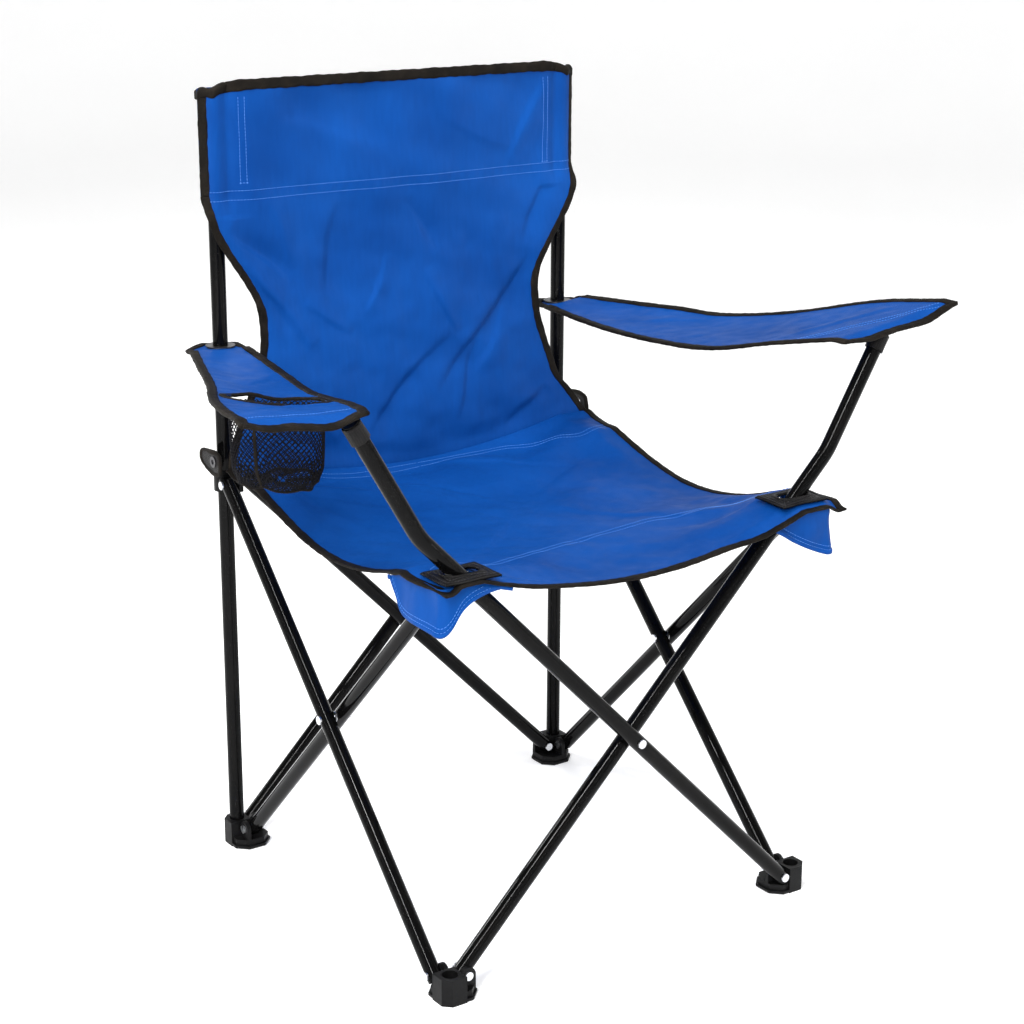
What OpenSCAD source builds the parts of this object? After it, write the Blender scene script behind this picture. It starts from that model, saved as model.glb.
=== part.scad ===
// Folding camp chair: eight crossed tubes, two rear posts, a cloth sling seat and two cloth armrests.
// +Z is up, the sitter faces -Y, and the origin is on the floor at the middle of the chair.
// Each side of the base is a pair of crossed tubes, and each side is the front one turned by a quarter.

/* [Frame] */
// Distance between the rear posts, and between the front and rear corners
base_w = 434; // [400:2:470]
// Diameter of every tube
tube_d = 16; // [14:1:18]
// Wall of every tube
tube_wall = 1; // [0.8:0.1:1.4]
// Height of the lower pivots
low_pivot_z = 21.4; // [20:0.1:24]
// Height of the upper pivots when the chair is open
high_pivot_z = 419.6; // [380:0.2:450]
// Height of the rear post's top
post_top_z = 824; // [780:1:860]

/* [Corners] */
// Distance along a side from a corner's axis to the pivots on that side
pivot_in = 20; // [19:0.5:22]
// Distance of an outer tube outward from the corner's axis
outer_out = 6; // [6:0.5:7]
// Distance of an inner tube inward from the corner's axis
inner_in = 11; // [11:0.5:12]
// Thickness of the plates that the tubes are riveted to
lug_t = 4.6; // [4:0.2:4.8]
// Width of the foot's eight-sided base
foot_w = 44; // [42:1:48]
// Thickness of the foot's base
foot_t = 4; // [3:0.5:6]
// Height of the foot's socket
socket_top_z = 28; // [26:0.5:32]

/* [Arms] */
// Length of straight tube from the upper pivot to the arm's bend
arm_lower = 69; // [50:1:80]
// Angle of the arm's bend
arm_bend = 14; // [8:1:20]
// Radius of the arm's bend, at the tube's centre
bend_r = 70; // [50:1:90]
// Length of straight tube above the bend
arm_upper = 124; // [100:1:126]

/* [Rivets] */
// Shank diameter of every rivet
rivet_d = 5; // [4:0.5:5]
// Head diameter of every rivet
rivet_head_d = 9; // [8:0.5:9]
// Height of a rivet's head
rivet_head_h = 1.8; // [1.4:0.1:2]

/* [Cloth] */
// Thickness of the cloth's solids
cloth_t = 3; // [2:0.5:3]
// Height of the seat's corners
seat_corner_z = 434; // [434:1:436]
// How far the seat hangs below its corners
seat_sag = 34; // [24:1:36]
// Half width of the seat at its front corners
seat_front_x = 262; // [255:1:266]
// Half width of the seat along its sides
seat_side_x = 231; // [225:1:234]
// Middle of the seat's front edge
seat_front_y = -243; // [-246:1:-240]
// Seat's rear edge, where it is sewn to the backrest
seat_rear_y = 184; // [180:1:186]
// Half width of the backrest's upper part
back_top_x = 233; // [228:1:236]
// Half width of the backrest's waist
back_waist_x = 174; // [165:1:180]
// Lower end of the sleeves on the rear posts
sleeve_low_z = 722; // [715:1:740]
// Radius of the cup hole in the left armrest
cup_r = 47; // [42:1:48]
// Depth of the cup's bag
cup_depth = 80; // [70:1:90]

/* [Hidden] */
$fn = 48;

// Quarter turns from the front right corner
FRONT_RIGHT = 0;
REAR_RIGHT = 1;
REAR_LEFT = 2;
FRONT_LEFT = 3;
// Quarter turns from the front side
FRONT = 0;
RIGHT = 1;
BACK = 2;
LEFT = 3;

tube_r = tube_d / 2;
corner = base_w / 2;
// crossed tubes, pivot to pivot
cross_run = base_w - 2 * pivot_in;
cross_rise = high_pivot_z - low_pivot_z;
cross_len = norm([cross_run, cross_rise]);
lean = atan2(cross_run, cross_rise);
// gaps between pieces that turn or slide on each other
rivet_gap = 0.08;
side_gap = 0.4;
slide_gap = 0.3;
rivet_r = rivet_d / 2;
// solid stretch at each flattened tube end
tube_plug = 11;

plastic = [0.035, 0.035, 0.04];
steel_paint = [0.05, 0.05, 0.055];
bright = [0.75, 0.76, 0.78];
blue = [0.05, 0.2, 0.6];
webbing = [0.07, 0.06, 0.06];

// ---- helpers ----

function smooth(t) = t <= 0 ? 0 : (t >= 1 ? 1 : t * t * (3 - 2 * t));

// a piece at one of the four corners, drawn for the front right one with the corner's axis as origin
module at_corner(quarter) {
    rotate([0, 0, 90 * quarter])
        translate([corner, -corner, 0])
            children();
}

// a piece on one of the four sides, drawn for the front one
module on_side(quarter) {
    rotate([0, 0, 90 * quarter])
        children();
}

// swaps the two sides of a corner, because an upper corner is the mirror image of a lower one
module swap_sides() {
    mirror([1, 1, 0])
        children();
}

// cylinder along Y from y0 to y1
module rod_y(r, y0, y1) {
    translate([0, y1, 0])
        rotate([90, 0, 0])
            cylinder(r = r, h = y1 - y0);
}

// square with its corners cut off
module eight_sides(w, cut) {
    h = w / 2;
    polygon([
        [-h, -h + cut], [-h + cut, -h], [h - cut, -h], [h, -h + cut],
        [h, h - cut], [h - cut, h], [-h + cut, h], [-h, h - cut]
    ]);
}

// closed solid between a grid of points and the same grid moved by off
module shell(grid, off) {
    n = len(grid);
    m = len(grid[0]);
    top = [for (row = grid) each row];
    low = [for (row = grid) each [for (p = row) p + off]];
    k = n * m;
    faces_top = [for (i = [0:n - 2], j = [0:m - 2])
        each [[i * m + j, (i + 1) * m + j + 1, i * m + j + 1], [i * m + j, (i + 1) * m + j, (i + 1) * m + j + 1]]];
    faces_low = [for (f = faces_top) [k + f[2], k + f[1], k + f[0]]];
    rim = concat(
        [for (j = [0:m - 1]) j],
        [for (i = [1:n - 1]) i * m + m - 1],
        [for (j = [m - 2:-1:0]) (n - 1) * m + j],
        [for (i = [n - 2:-1:1]) i * m]
    );
    faces_rim = [for (q = [0:len(rim) - 1])
        let (a = rim[q], b = rim[(q + 1) % len(rim)])
        each [[a, b, k + a], [b, k + b, k + a]]];
    polyhedron(points = concat(top, low), faces = concat(faces_top, faces_low, faces_rim));
}

// rivet along Y: heads outside y0 and y1
module rivet(y0, y1) {
    rod_y(rivet_r, y0, y1);
    rod_y(rivet_head_d / 2, y0 - rivet_head_h, y0);
    rod_y(rivet_head_d / 2, y1, y1 + rivet_head_h);
}

// ---- corners ----

// plate that a tube is riveted to: its faces are at y0 and y1 and its rivet's hole is at x = -pivot_in
module lug(y0, y1, low_z, pivot_z, round_r) {
    difference() {
        union() {
            translate([-pivot_in, 0, pivot_z])
                rod_y(round_r, y0, y1);
            translate([-pivot_in - round_r, y0, low_z])
                cube([2 * round_r, y1 - y0, pivot_z - low_z]);
        }
        translate([-pivot_in, 0, pivot_z])
            rod_y(rivet_r, y0 - 1, y1 + 1);
    }
}

// inner faces of the two lugs, measured from the corner's axis
outer_lug_y = -outer_out + tube_r + side_gap;
inner_lug_y = inner_in - tube_r - side_gap;
lug_round = 8.6;
tower_in = 11.4;
tower_out = 13;
socket_r = tube_r + 0.15;

// foot: outer tube's lug along the side, inner tube's lug round the corner, socket at the corner's axis
module foot_moulding() {
    base_mid = (foot_w / 2) - tower_out;
    difference() {
        union() {
            hull() {
                translate([-base_mid, base_mid, 0])
                    linear_extrude(1)
                        eight_sides(foot_w - 3, 11);
                translate([-base_mid, base_mid, 1.5])
                    linear_extrude(foot_t - 1.5)
                        eight_sides(foot_w, 12);
            }
            translate([-base_mid, base_mid, 0])
                linear_extrude(foot_t + 6.5)
                    eight_sides(foot_w - 5, 10);
            linear_extrude(socket_top_z)
                polygon([
                    [-tower_in, -tower_out], [tower_out - 8, -tower_out], [tower_out, -tower_out + 8],
                    [tower_out, tower_in], [-tower_in, tower_in]
                ]);
            lug(outer_lug_y, outer_lug_y + lug_t, 0, low_pivot_z, lug_round);
            swap_sides()
                lug(inner_lug_y - lug_t, inner_lug_y, 0, low_pivot_z, lug_round);
            translate([-pivot_in, outer_lug_y, 0])
                cube([pivot_in - tower_in + 1, lug_t, socket_top_z - 3]);
            swap_sides()
                translate([-pivot_in, inner_lug_y - lug_t, 0])
                    cube([pivot_in - tower_in + 1, lug_t, socket_top_z - 3]);
        }
        translate([0, 0, foot_t])
            cylinder(r = socket_r, h = socket_top_z);
        // room round the rivets in the webs beside the lugs
        translate([-pivot_in, 0, low_pivot_z])
            rod_y(rivet_r, outer_lug_y - 1, outer_lug_y + lug_t + 1);
        swap_sides()
            translate([-pivot_in, 0, low_pivot_z])
                rod_y(rivet_r, inner_lug_y - lug_t - 1, inner_lug_y + 1);
    }
}

// the two pivot rivets of a foot: heads outside the tube and outside the plate
module foot_rivet_pair() {
    translate([-pivot_in, 0, low_pivot_z])
        rivet(-outer_out - tube_r - 0.1, outer_lug_y + lug_t);
    swap_sides()
        translate([-pivot_in, 0, low_pivot_z])
            rivet(inner_lug_y - lug_t, inner_in + tube_r + 0.1);
}

// the two pivot rivets of an upper corner
module upper_rivet_pair() {
    swap_sides()
        translate([0, 0, high_pivot_z - low_pivot_z])
            foot_rivet_pair();
}

// sliding collar on a rear post, with the lugs of a foot the other way round
module slider_moulding() {
    collar_r = 12;
    half_h = 11;
    difference() {
        union() {
            translate([0, 0, high_pivot_z - half_h])
                cylinder(r = collar_r, h = 2 * half_h);
            swap_sides() {
                lug(outer_lug_y, outer_lug_y + lug_t, high_pivot_z - 8, high_pivot_z, 8);
                translate([-pivot_in, outer_lug_y, high_pivot_z - 8])
                    cube([pivot_in - 5, lug_t, 16]);
            }
            lug(inner_lug_y - lug_t, inner_lug_y, high_pivot_z - 8, high_pivot_z, 8);
            translate([-pivot_in, inner_lug_y - lug_t, high_pivot_z - 8])
                cube([pivot_in - 5, lug_t, 16]);
        }
        translate([0, 0, high_pivot_z - half_h - 1])
            cylinder(r = tube_r + slide_gap, h = 2 * half_h + 2);
        swap_sides()
            translate([-pivot_in, 0, high_pivot_z])
                rod_y(rivet_r, outer_lug_y - 1, outer_lug_y + lug_t + 1);
        translate([-pivot_in, 0, high_pivot_z])
            rod_y(rivet_r, inner_lug_y - lug_t - 1, inner_lug_y + 1);
    }
}

// brackets of the front upper corners: the arm tube runs on past them, so they have no collar
hub_t = 3;
hub_disc_r = 6.5;

// left one, drawn for the right: the outer tube of the front side runs on, and the side's tube is an inner one
module left_hub_shape() {
    low_z = high_pivot_z - 12;
    difference() {
        union() {
            lug(outer_lug_y, outer_lug_y + hub_t, low_z, high_pivot_z, hub_disc_r);
            swap_sides()
                lug(inner_lug_y - hub_t, inner_lug_y, low_z, high_pivot_z, hub_disc_r);
            translate([-pivot_in, outer_lug_y, low_z])
                cube([pivot_in - inner_lug_y + hub_t, hub_t, 16]);
            translate([-inner_lug_y, outer_lug_y, low_z])
                cube([hub_t, pivot_in - outer_lug_y, 16]);
        }
        translate([-pivot_in, 0, high_pivot_z])
            rod_y(rivet_r, outer_lug_y - 1, outer_lug_y + hub_t + 1);
        swap_sides()
            translate([-pivot_in, 0, high_pivot_z])
                rod_y(rivet_r, inner_lug_y - hub_t - 1, inner_lug_y + 1);
    }
}

module left_hub_rivet_pair() {
    translate([-pivot_in, 0, high_pivot_z])
        rivet(-outer_out - tube_r - 0.1, outer_lug_y + hub_t);
    swap_sides()
        translate([-pivot_in, 0, high_pivot_z])
            rivet(inner_lug_y - hub_t, inner_in + tube_r + 0.1);
}

// right one: the inner tube of the front side runs on, over a low web between the two plates
module right_hub_shape() {
    low_z = high_pivot_z - 15;
    web_h = 10;
    web_in = 11;
    web_w = web_in - outer_lug_y;
    difference() {
        union() {
            lug(inner_lug_y - hub_t, inner_lug_y, low_z, high_pivot_z, hub_disc_r);
            swap_sides()
                lug(outer_lug_y, outer_lug_y + hub_t, low_z, high_pivot_z, hub_disc_r - 0.5);
            translate([-pivot_in, inner_lug_y - hub_t, low_z])
                cube([pivot_in - outer_lug_y, hub_t, web_h]);
            translate([-web_in, inner_lug_y - hub_t, low_z])
                cube([web_w, pivot_in, web_h]);
        }
        translate([-pivot_in, 0, high_pivot_z])
            rod_y(rivet_r, inner_lug_y - hub_t - 1, inner_lug_y + 1);
        swap_sides()
            translate([-pivot_in, 0, high_pivot_z])
                rod_y(rivet_r, outer_lug_y - 1, outer_lug_y + hub_t + 1);
    }
}

module right_hub_rivet_pair() {
    translate([-pivot_in, 0, high_pivot_z])
        rivet(inner_lug_y - hub_t, inner_in + tube_r + 0.1);
    swap_sides()
        translate([-pivot_in, 0, high_pivot_z])
            rivet(-outer_out - tube_r - 0.1, outer_lug_y + hub_t);
}

// ---- tubes ----

// tube along +Z from a pivot at the origin; its pivots lie along Y and its lower end is round about the pivot
module lower_stretch(length) {
    intersection() {
        translate([0, 0, -tube_r])
            cylinder(r = tube_r, h = length + tube_r);
        union() {
            rod_y(tube_r, -tube_r - 1, tube_r + 1);
            translate([-tube_r - 1, -tube_r - 1, 0])
                cube([tube_d + 2, tube_d + 2, length]);
        }
    }
}

module pivot_hole(z, r) {
    translate([0, 0, z])
        rod_y(r, -tube_r - 1, tube_r + 1);
}

// crossed tube with two round ends
module straight_tube(centre_hole_r) {
    difference() {
        union() {
            lower_stretch(cross_len / 2);
            translate([0, 0, cross_len])
                mirror([0, 0, 1])
                    lower_stretch(cross_len / 2);
        }
        translate([0, 0, tube_plug])
            cylinder(r = tube_r - tube_wall, h = cross_len - 2 * tube_plug);
        pivot_hole(0, rivet_r + rivet_gap);
        pivot_hole(cross_len / 2, centre_hole_r);
        pivot_hole(cross_len, rivet_r + rivet_gap);
    }
}

// round bar that follows the arm: straight, bent towards +X, straight
// The bend is a hair thicker and laps the straight stretches, so that the three join as one solid.
module arm_path(r, length, top) {
    lap = 1;
    swell = 0.03;
    cylinder(r = r, h = length + lap);
    translate([bend_r, 0, length])
        rotate([90, 0, 0])
            rotate([0, 0, 180 - arm_bend])
                rotate_extrude(angle = arm_bend)
                    translate([bend_r, 0])
                        circle(r = r + swell);
    arm_end(length)
        translate([0, 0, -lap])
            cylinder(r = r, h = top + lap);
}

// moves its child to the upper end of the arm's bend
module arm_end(length) {
    translate([bend_r * (1 - cos(arm_bend)), 0, length + bend_r * sin(arm_bend)])
        rotate([0, arm_bend, 0])
            children();
}

// crossed tube that runs on through the seat's corner and carries the armrest
module arm_tube(centre_hole_r) {
    bend_z = cross_len + arm_lower;
    difference() {
        union() {
            lower_stretch(cross_len / 2);
            translate([0, 0, cross_len / 2])
                arm_path(tube_r, bend_z - cross_len / 2, arm_upper);
        }
        translate([0, 0, tube_plug])
            arm_path(tube_r - tube_wall, bend_z - tube_plug, arm_upper + 1);
        pivot_hole(0, rivet_r + rivet_gap);
        pivot_hole(cross_len / 2, centre_hole_r);
        pivot_hole(cross_len, rivet_r + rivet_gap);
    }
}

// places a tube that is drawn along +Z as the outer or the inner one of the front side
module as_outer() {
    translate([corner - pivot_in, -corner - outer_out, low_pivot_z])
        rotate([0, -lean, 0])
            children();
}

module as_inner() {
    mirror([1, 0, 0])
        translate([corner - pivot_in, -corner + inner_in, low_pivot_z])
            rotate([0, -lean, 0])
                children();
}

module outer_tube(side) {
    color(steel_paint)
        on_side(side)
            as_outer()
                straight_tube(rivet_r + rivet_gap);
}

module inner_tube(side) {
    color(steel_paint)
        on_side(side)
            as_inner()
                straight_tube(rivet_r);
}

// rivet through both tubes where they cross, with the washer that keeps them apart
module centre_rivet(side) {
    mid_z = (low_pivot_z + high_pivot_z) / 2;
    washer_y = -corner - (outer_out - inner_in) / 2;
    color(bright)
        on_side(side)
            translate([0, 0, mid_z]) {
                rivet(-corner - outer_out - tube_r - 0.1, -corner + inner_in + tube_r);
                rod_y(6, washer_y - 0.3, washer_y + 0.3);
            }
}

// plug in an arm's open end
module arm_cap_shape() {
    arm_end(cross_len + arm_lower)
        translate([0, 0, arm_upper]) {
            translate([0, 0, -8])
                cylinder(r = tube_r - tube_wall - 0.05, h = 8);
            cylinder(r = tube_r, h = 2.2);
        }
}

// cloth loop under the armrest that holds the arm's end
module arm_pocket_shape() {
    arm_end(cross_len + arm_lower)
        translate([0, 0, arm_upper - 30])
            difference() {
                cylinder(r = tube_r + 2.2, h = 26);
                translate([0, 0, -1])
                    cylinder(r = tube_r + 0.05, h = 28);
            }
}

// ---- posts ----

module post(side) {
    color(steel_paint)
        at_corner(side)
            translate([0, 0, foot_t])
                difference() {
                    cylinder(r = tube_r, h = post_top_z - foot_t);
                    translate([0, 0, -1])
                        cylinder(r = tube_r - tube_wall, h = post_top_z - foot_t + 2);
                }
}

module post_cap(side) {
    color(plastic)
        at_corner(side)
            translate([0, 0, post_top_z]) {
                translate([0, 0, -12])
                    cylinder(r = tube_r - tube_wall - 0.05, h = 12);
                cylinder(r = tube_r, h = 2);
            }
}

// ---- cloth: seat ----

seat_mid_y = (seat_front_y + seat_rear_y) / 2;
seat_half_y = (seat_rear_y - seat_front_y) / 2;
// window in the seat's corner for the patch that the arm tube comes through
patch_x = 207;
patch_w = 60;
patch_l = 44;
patch_t = 3;
patch_low_z = seat_corner_z - patch_t;
// the left front corner lies forward of the right one, because its arm tube does
seat_skew = 7;

function seat_edge_x(y) = seat_side_x + (seat_front_x - seat_side_x) * smooth((-110 - y) / 110);
// flat out to the corners, which lie over the tubes' ends
function seat_z(x, y) =
    let (
        t = (y - seat_mid_y) / seat_half_y,
        s = min(1, abs(x) / seat_side_x / 0.86),
        e = min(1, abs(t) / 0.70)
    )
    seat_corner_z - seat_sag * (1 - 0.3 * smooth(t)) * (1 - s * s * e * e);

// half of the seat with x > 0, clear of the middle by half a millimetre; skew sets its front corner back
module seat_half(arm_y, skew) {
    rows = 12;
    cols = 6;
    grid = [for (i = [0:rows])
        [for (j = [0:cols])
            let (
                y0 = seat_front_y + (seat_rear_y - seat_front_y) * i / rows,
                x = 0.5 + (seat_edge_x(y0) - 0.5) * j / cols,
                y = y0 + skew * x / seat_front_x * (1 - i / rows)
            )
            [x, y, seat_z(x, y)]]];
    difference() {
        shell(grid, [0, 0, -cloth_t]);
        translate([patch_x - patch_w / 2 - 1, arm_y - patch_l / 2 - 1, seat_corner_z - 60])
            cube([patch_w + 2, patch_l + 2, 120]);
    }
}

// black patch on the seat's corner, with the slot that the arm tube swings in
module corner_patch_shape(arm_y) {
    slot_r = tube_r + 0.5;
    slot_in = 198;
    slot_out = 216.5;
    difference() {
        union() {
            translate([patch_x - patch_w / 2, arm_y - patch_l / 2, patch_low_z])
                cube([patch_w, patch_l, patch_t]);
            for (x = [slot_in, slot_out])
                translate([x, arm_y, patch_low_z])
                    cylinder(r = slot_r + 4, h = patch_t + 1.6);
            translate([slot_in, arm_y - slot_r - 4, patch_low_z])
                cube([slot_out - slot_in, 2 * (slot_r + 4), patch_t + 1.6]);
        }
        for (x = [slot_in, slot_out])
            translate([x, arm_y, patch_low_z - 1])
                cylinder(r = slot_r, h = patch_t + 4);
        translate([slot_in, arm_y - slot_r, patch_low_z - 1])
            cube([slot_out - slot_in, 2 * slot_r, patch_t + 4]);
    }
}

// cloth skirt that hangs round the corner's bracket
module corner_pocket_shape(front_y) {
    wall = 2;
    outside_x = 243;
    inside_x = 168;
    rear_y = -160;
    low_z = 380;
    high_z = 413;
    translate([0, 0, low_z])
        linear_extrude(high_z - low_z)
            polygon([
                [inside_x, front_y], [outside_x, front_y], [outside_x, rear_y],
                [outside_x - wall, rear_y], [outside_x - wall, front_y + wall], [inside_x, front_y + wall]
            ]);
}

// ---- cloth: backrest ----

back_high_z = post_top_z + 5;
waist_low_z = 575;
waist_high_z = 590;
seam_gap = 3.6;
function back_half_x(z) =
    z > sleeve_low_z - 1
    ? corner - 12.4
    : back_waist_x + (back_top_x - back_waist_x) * smooth((z - waist_high_z) / 120)
        + (seat_side_x - 3 - back_waist_x) * smooth((waist_low_z - z) / 145);
// the panel leans back a little and stays in front of the rear tubes
function back_y(z) = seat_rear_y + seam_gap + 2.4 + 16 * smooth((z - 430) / 320);
// lower edge: it follows the seat's rear edge from one side, u = -1, to the other, u = 1
function back_low_z(u) = seat_z(u * (seat_side_x - 3), seat_rear_y) + 1;

module backrest_panel() {
    rows = 14;
    cols = 8;
    stop_z = sleeve_low_z - 1.5;
    lower = [for (i = [0:rows])
        [for (j = [0:cols])
            let (u = 1 - 2 * j / cols, z = back_low_z(u) + (stop_z - back_low_z(u)) * i / rows)
            [back_half_x(z) * u, back_y(z), z]]];
    upper = [for (z = [sleeve_low_z, back_high_z])
        [for (j = [0:cols]) [back_half_x(z) * (1 - 2 * j / cols), back_y(z), z]]];
    shell(concat(lower, upper), [0, -2.4, 0]);
}

// closed pocket over a post's top, drawn with the post's axis as origin and +X outward
module sleeve_shape() {
    fin_out = back_top_x - corner;
    fin_in = 12;
    layer = 2.4;
    high = back_high_z - sleeve_low_z;
    translate([0, 0, sleeve_low_z])
        difference() {
            union() {
                cylinder(r = tube_r + layer, h = high);
                translate([-fin_in, -tube_r - layer, 0])
                    cube([fin_in + tube_r, layer, high]);
                translate([tube_r - 2, -layer / 2, 0])
                    cube([fin_out - tube_r + 2, layer, high]);
            }
            translate([0, 0, -1])
                cylinder(r = tube_r + 0.1, h = high - 1.8);
        }
}

// ---- cloth: armrests ----

arm_z = 565;
// rear to front: y, inner x, inner z, outer x, outer z
right_arm_rows = [
    [200, 190, 564, 246, 567], [90, 184, 561, 286, 568], [0, 186, 562, 318, 574],
    [-80, 197, 567, 368, 591], [-150, 226, 582, 402, 607], [-218, 262, 594, 414, 616]
];
left_arm_rows = [
    [200, 194, 564, 258, 567], [90, 212, 560, 303, 574], [0, 234, 563, 341, 583],
    [-80, 256, 575, 380, 594], [-160, 284, 591, 412, 605], [-234, 308, 604, 423, 611]
];
cup_x = 318;
cup_y = -88;

module armrest_shell(rows) {
    cols = 3;
    grid = [for (r = [len(rows) - 1:-1:0])
        let (row = rows[r])
        [for (j = [0:cols])
            let (t = j / cols)
            [row[1] + (row[3] - row[1]) * t, row[0], row[2] + (row[4] - row[2]) * t]]];
    shell(grid, [0, 0, -cloth_t]);
}

// plane of the left armrest round the cup: it rises towards the outside and towards the front
cup_tilt = 9;
cup_pitch = 10;
cup_mid_z = 584;
cup_low_z = cup_mid_z + 2 - cup_depth;
rim_h = 4;

module cup_frame() {
    translate([-cup_x, cup_y, cup_mid_z])
        rotate([-cup_pitch, cup_tilt, 0])
            children();
}

// net bag, closed below, whose mouth lies just under the hole's bound edge
module cup_bag_shape() {
    wall = 1.6;
    floor_t = 2;
    low_r = cup_r - 8;
    high_r = cup_r - 3;
    high = cup_mid_z + 20 - cup_low_z;
    difference() {
        translate([-cup_x, cup_y, cup_low_z])
            difference() {
                cylinder(r1 = low_r, r2 = high_r, h = high);
                translate([0, 0, floor_t])
                    cylinder(r1 = low_r - wall, r2 = high_r - wall, h = high - floor_t + 0.01);
            }
        cup_frame()
            translate([-80, -80, -rim_h / 2 - 0.6])
                cube([160, 160, 60]);
    }
}

// bound edge of the cup's hole
module cup_rim_shape() {
    rim_w = 3;
    cup_frame()
        translate([0, 0, -rim_h / 2])
            difference() {
                cylinder(r = cup_r - 0.4, h = rim_h);
                translate([0, 0, -1])
                    cylinder(r = cup_r - 0.4 - rim_w, h = rim_h + 2);
            }
}

// cloth round the eyelet at an armrest's rear end, drawn with the post's axis as origin and +X outward
eyelet_out_r = 14;
module arm_heel_shape(inner_x, outer_x) {
    front_y = -16.5;
    rear_y = 24;
    translate([0, 0, arm_z - cloth_t])
        difference() {
            linear_extrude(cloth_t)
                polygon([
                    [inner_x, front_y], [outer_x, front_y], [outer_x - 4, 6],
                    [13, rear_y], [-13, rear_y], [inner_x, 6]
                ]);
            translate([0, 0, -1])
                cylinder(r = eyelet_out_r + 0.1, h = cloth_t + 2);
        }
}

// metal ring that the post passes through
module arm_eyelet_shape() {
    translate([0, 0, arm_z - cloth_t])
        difference() {
            union() {
                cylinder(r = eyelet_out_r, h = cloth_t);
                translate([0, 0, cloth_t])
                    cylinder(r = eyelet_out_r + 1.5, h = 0.8);
            }
            translate([0, 0, -1])
                cylinder(r = tube_r + 0.1, h = cloth_t + 3);
        }
}

// ---- rear corner tabs ----

tab_x = 237;
tab_t = 2;
tab_eyelet_y = 200;
tab_eyelet_z = 446;
tab_eyelet_r = 4.5;

// cloth tab at the seat's rear corner
module corner_tab_shape() {
    translate([tab_x, 0, 0])
        rotate([90, 0, 90])
            linear_extrude(tab_t)
                difference() {
                    polygon([[186, 434], [200, 431], [226, 440], [231, 449], [224, 456], [196, 458], [186, 454]]);
                    translate([tab_eyelet_y, tab_eyelet_z])
                        circle(r = tab_eyelet_r);
                }
}

module tab_eyelet_shape() {
    translate([tab_x, tab_eyelet_y, tab_eyelet_z])
        rotate([0, 90, 0])
            difference() {
                union() {
                    cylinder(r = tab_eyelet_r, h = tab_t);
                    translate([0, 0, tab_t])
                        cylinder(r = tab_eyelet_r + 1.5, h = 0.8);
                }
                translate([0, 0, -1])
                    cylinder(r = tab_eyelet_r - 1.8, h = tab_t + 3);
            }
}

// ---- nodes ----

module foot(quarter) {
    color(plastic)
        at_corner(quarter)
            foot_moulding();
}

module foot_rivets(quarter) {
    color(bright)
        at_corner(quarter)
            foot_rivet_pair();
}

module slider(quarter) {
    color(plastic)
        at_corner(quarter)
            slider_moulding();
}

module slider_rivets(quarter) {
    color(bright)
        at_corner(quarter)
            upper_rivet_pair();
}

// a piece of the left side, drawn for the right
module on_left() {
    mirror([1, 0, 0])
        children();
}

module front_right_corner_frame() {
    translate([corner, -corner, 0])
        children();
}

module rear_right_corner_frame() {
    translate([corner, corner, 0])
        children();
}

module front_left_hub() {
    color(plastic)
        on_left()
            front_right_corner_frame()
                left_hub_shape();
}

module front_right_hub() {
    color(plastic)
        front_right_corner_frame()
            right_hub_shape();
}

module front_left_hub_rivets() {
    color(bright)
        on_left()
            front_right_corner_frame()
                left_hub_rivet_pair();
}

module front_right_hub_rivets() {
    color(bright)
        front_right_corner_frame()
            right_hub_rivet_pair();
}

module front_outer_tube() {
    color(steel_paint)
        as_outer()
            arm_tube(rivet_r + rivet_gap);
}

module front_inner_tube() {
    color(steel_paint)
        as_inner()
            arm_tube(rivet_r);
}

module left_arm_cap() {
    color(plastic)
        as_outer()
            arm_cap_shape();
}

module right_arm_cap() {
    color(plastic)
        as_inner()
            arm_cap_shape();
}

module left_arm_pocket() {
    color(webbing)
        as_outer()
            arm_pocket_shape();
}

module right_arm_pocket() {
    color(webbing)
        as_inner()
            arm_pocket_shape();
}

// planes that the two arm tubes swing in
left_arm_y = -corner - outer_out;
right_arm_y = -corner + inner_in;

module left_seat() {
    color(blue)
        on_left()
            seat_half(left_arm_y, -seat_skew);
}

module right_seat() {
    color(blue)
        seat_half(right_arm_y, seat_skew);
}

module backrest() {
    color(blue)
        backrest_panel();
}

module left_sleeve() {
    color(blue)
        on_left()
            rear_right_corner_frame()
                sleeve_shape();
}

module right_sleeve() {
    color(blue)
        rear_right_corner_frame()
            sleeve_shape();
}

module left_armrest() {
    color(blue)
        difference() {
            on_left()
                armrest_shell(left_arm_rows);
            cup_frame()
                translate([0, 0, -30])
                    cylinder(r = cup_r, h = 60);
        }
}

module right_armrest() {
    color(blue)
        armrest_shell(right_arm_rows);
}

module left_arm_heel() {
    color(blue)
        on_left()
            rear_right_corner_frame()
                arm_heel_shape(-23, 41);
}

module right_arm_heel() {
    color(blue)
        rear_right_corner_frame()
            arm_heel_shape(-27, 29);
}

module left_arm_eyelet() {
    color(bright)
        on_left()
            rear_right_corner_frame()
                arm_eyelet_shape();
}

module right_arm_eyelet() {
    color(bright)
        rear_right_corner_frame()
            arm_eyelet_shape();
}

module cup_bag() {
    color(webbing)
        cup_bag_shape();
}

module cup_rim() {
    color(webbing)
        cup_rim_shape();
}

module left_corner_patch() {
    color(webbing)
        on_left()
            corner_patch_shape(left_arm_y);
}

module right_corner_patch() {
    color(webbing)
        corner_patch_shape(right_arm_y);
}

module left_corner_pocket() {
    color(blue)
        on_left()
            corner_pocket_shape(-238);
}

module right_corner_pocket() {
    color(blue)
        corner_pocket_shape(-232);
}

module left_corner_tab() {
    color(webbing)
        on_left()
            corner_tab_shape();
}

module right_corner_tab() {
    color(webbing)
        corner_tab_shape();
}

module left_tab_eyelet() {
    color(bright)
        on_left()
            tab_eyelet_shape();
}

module right_tab_eyelet() {
    color(bright)
        tab_eyelet_shape();
}

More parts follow.
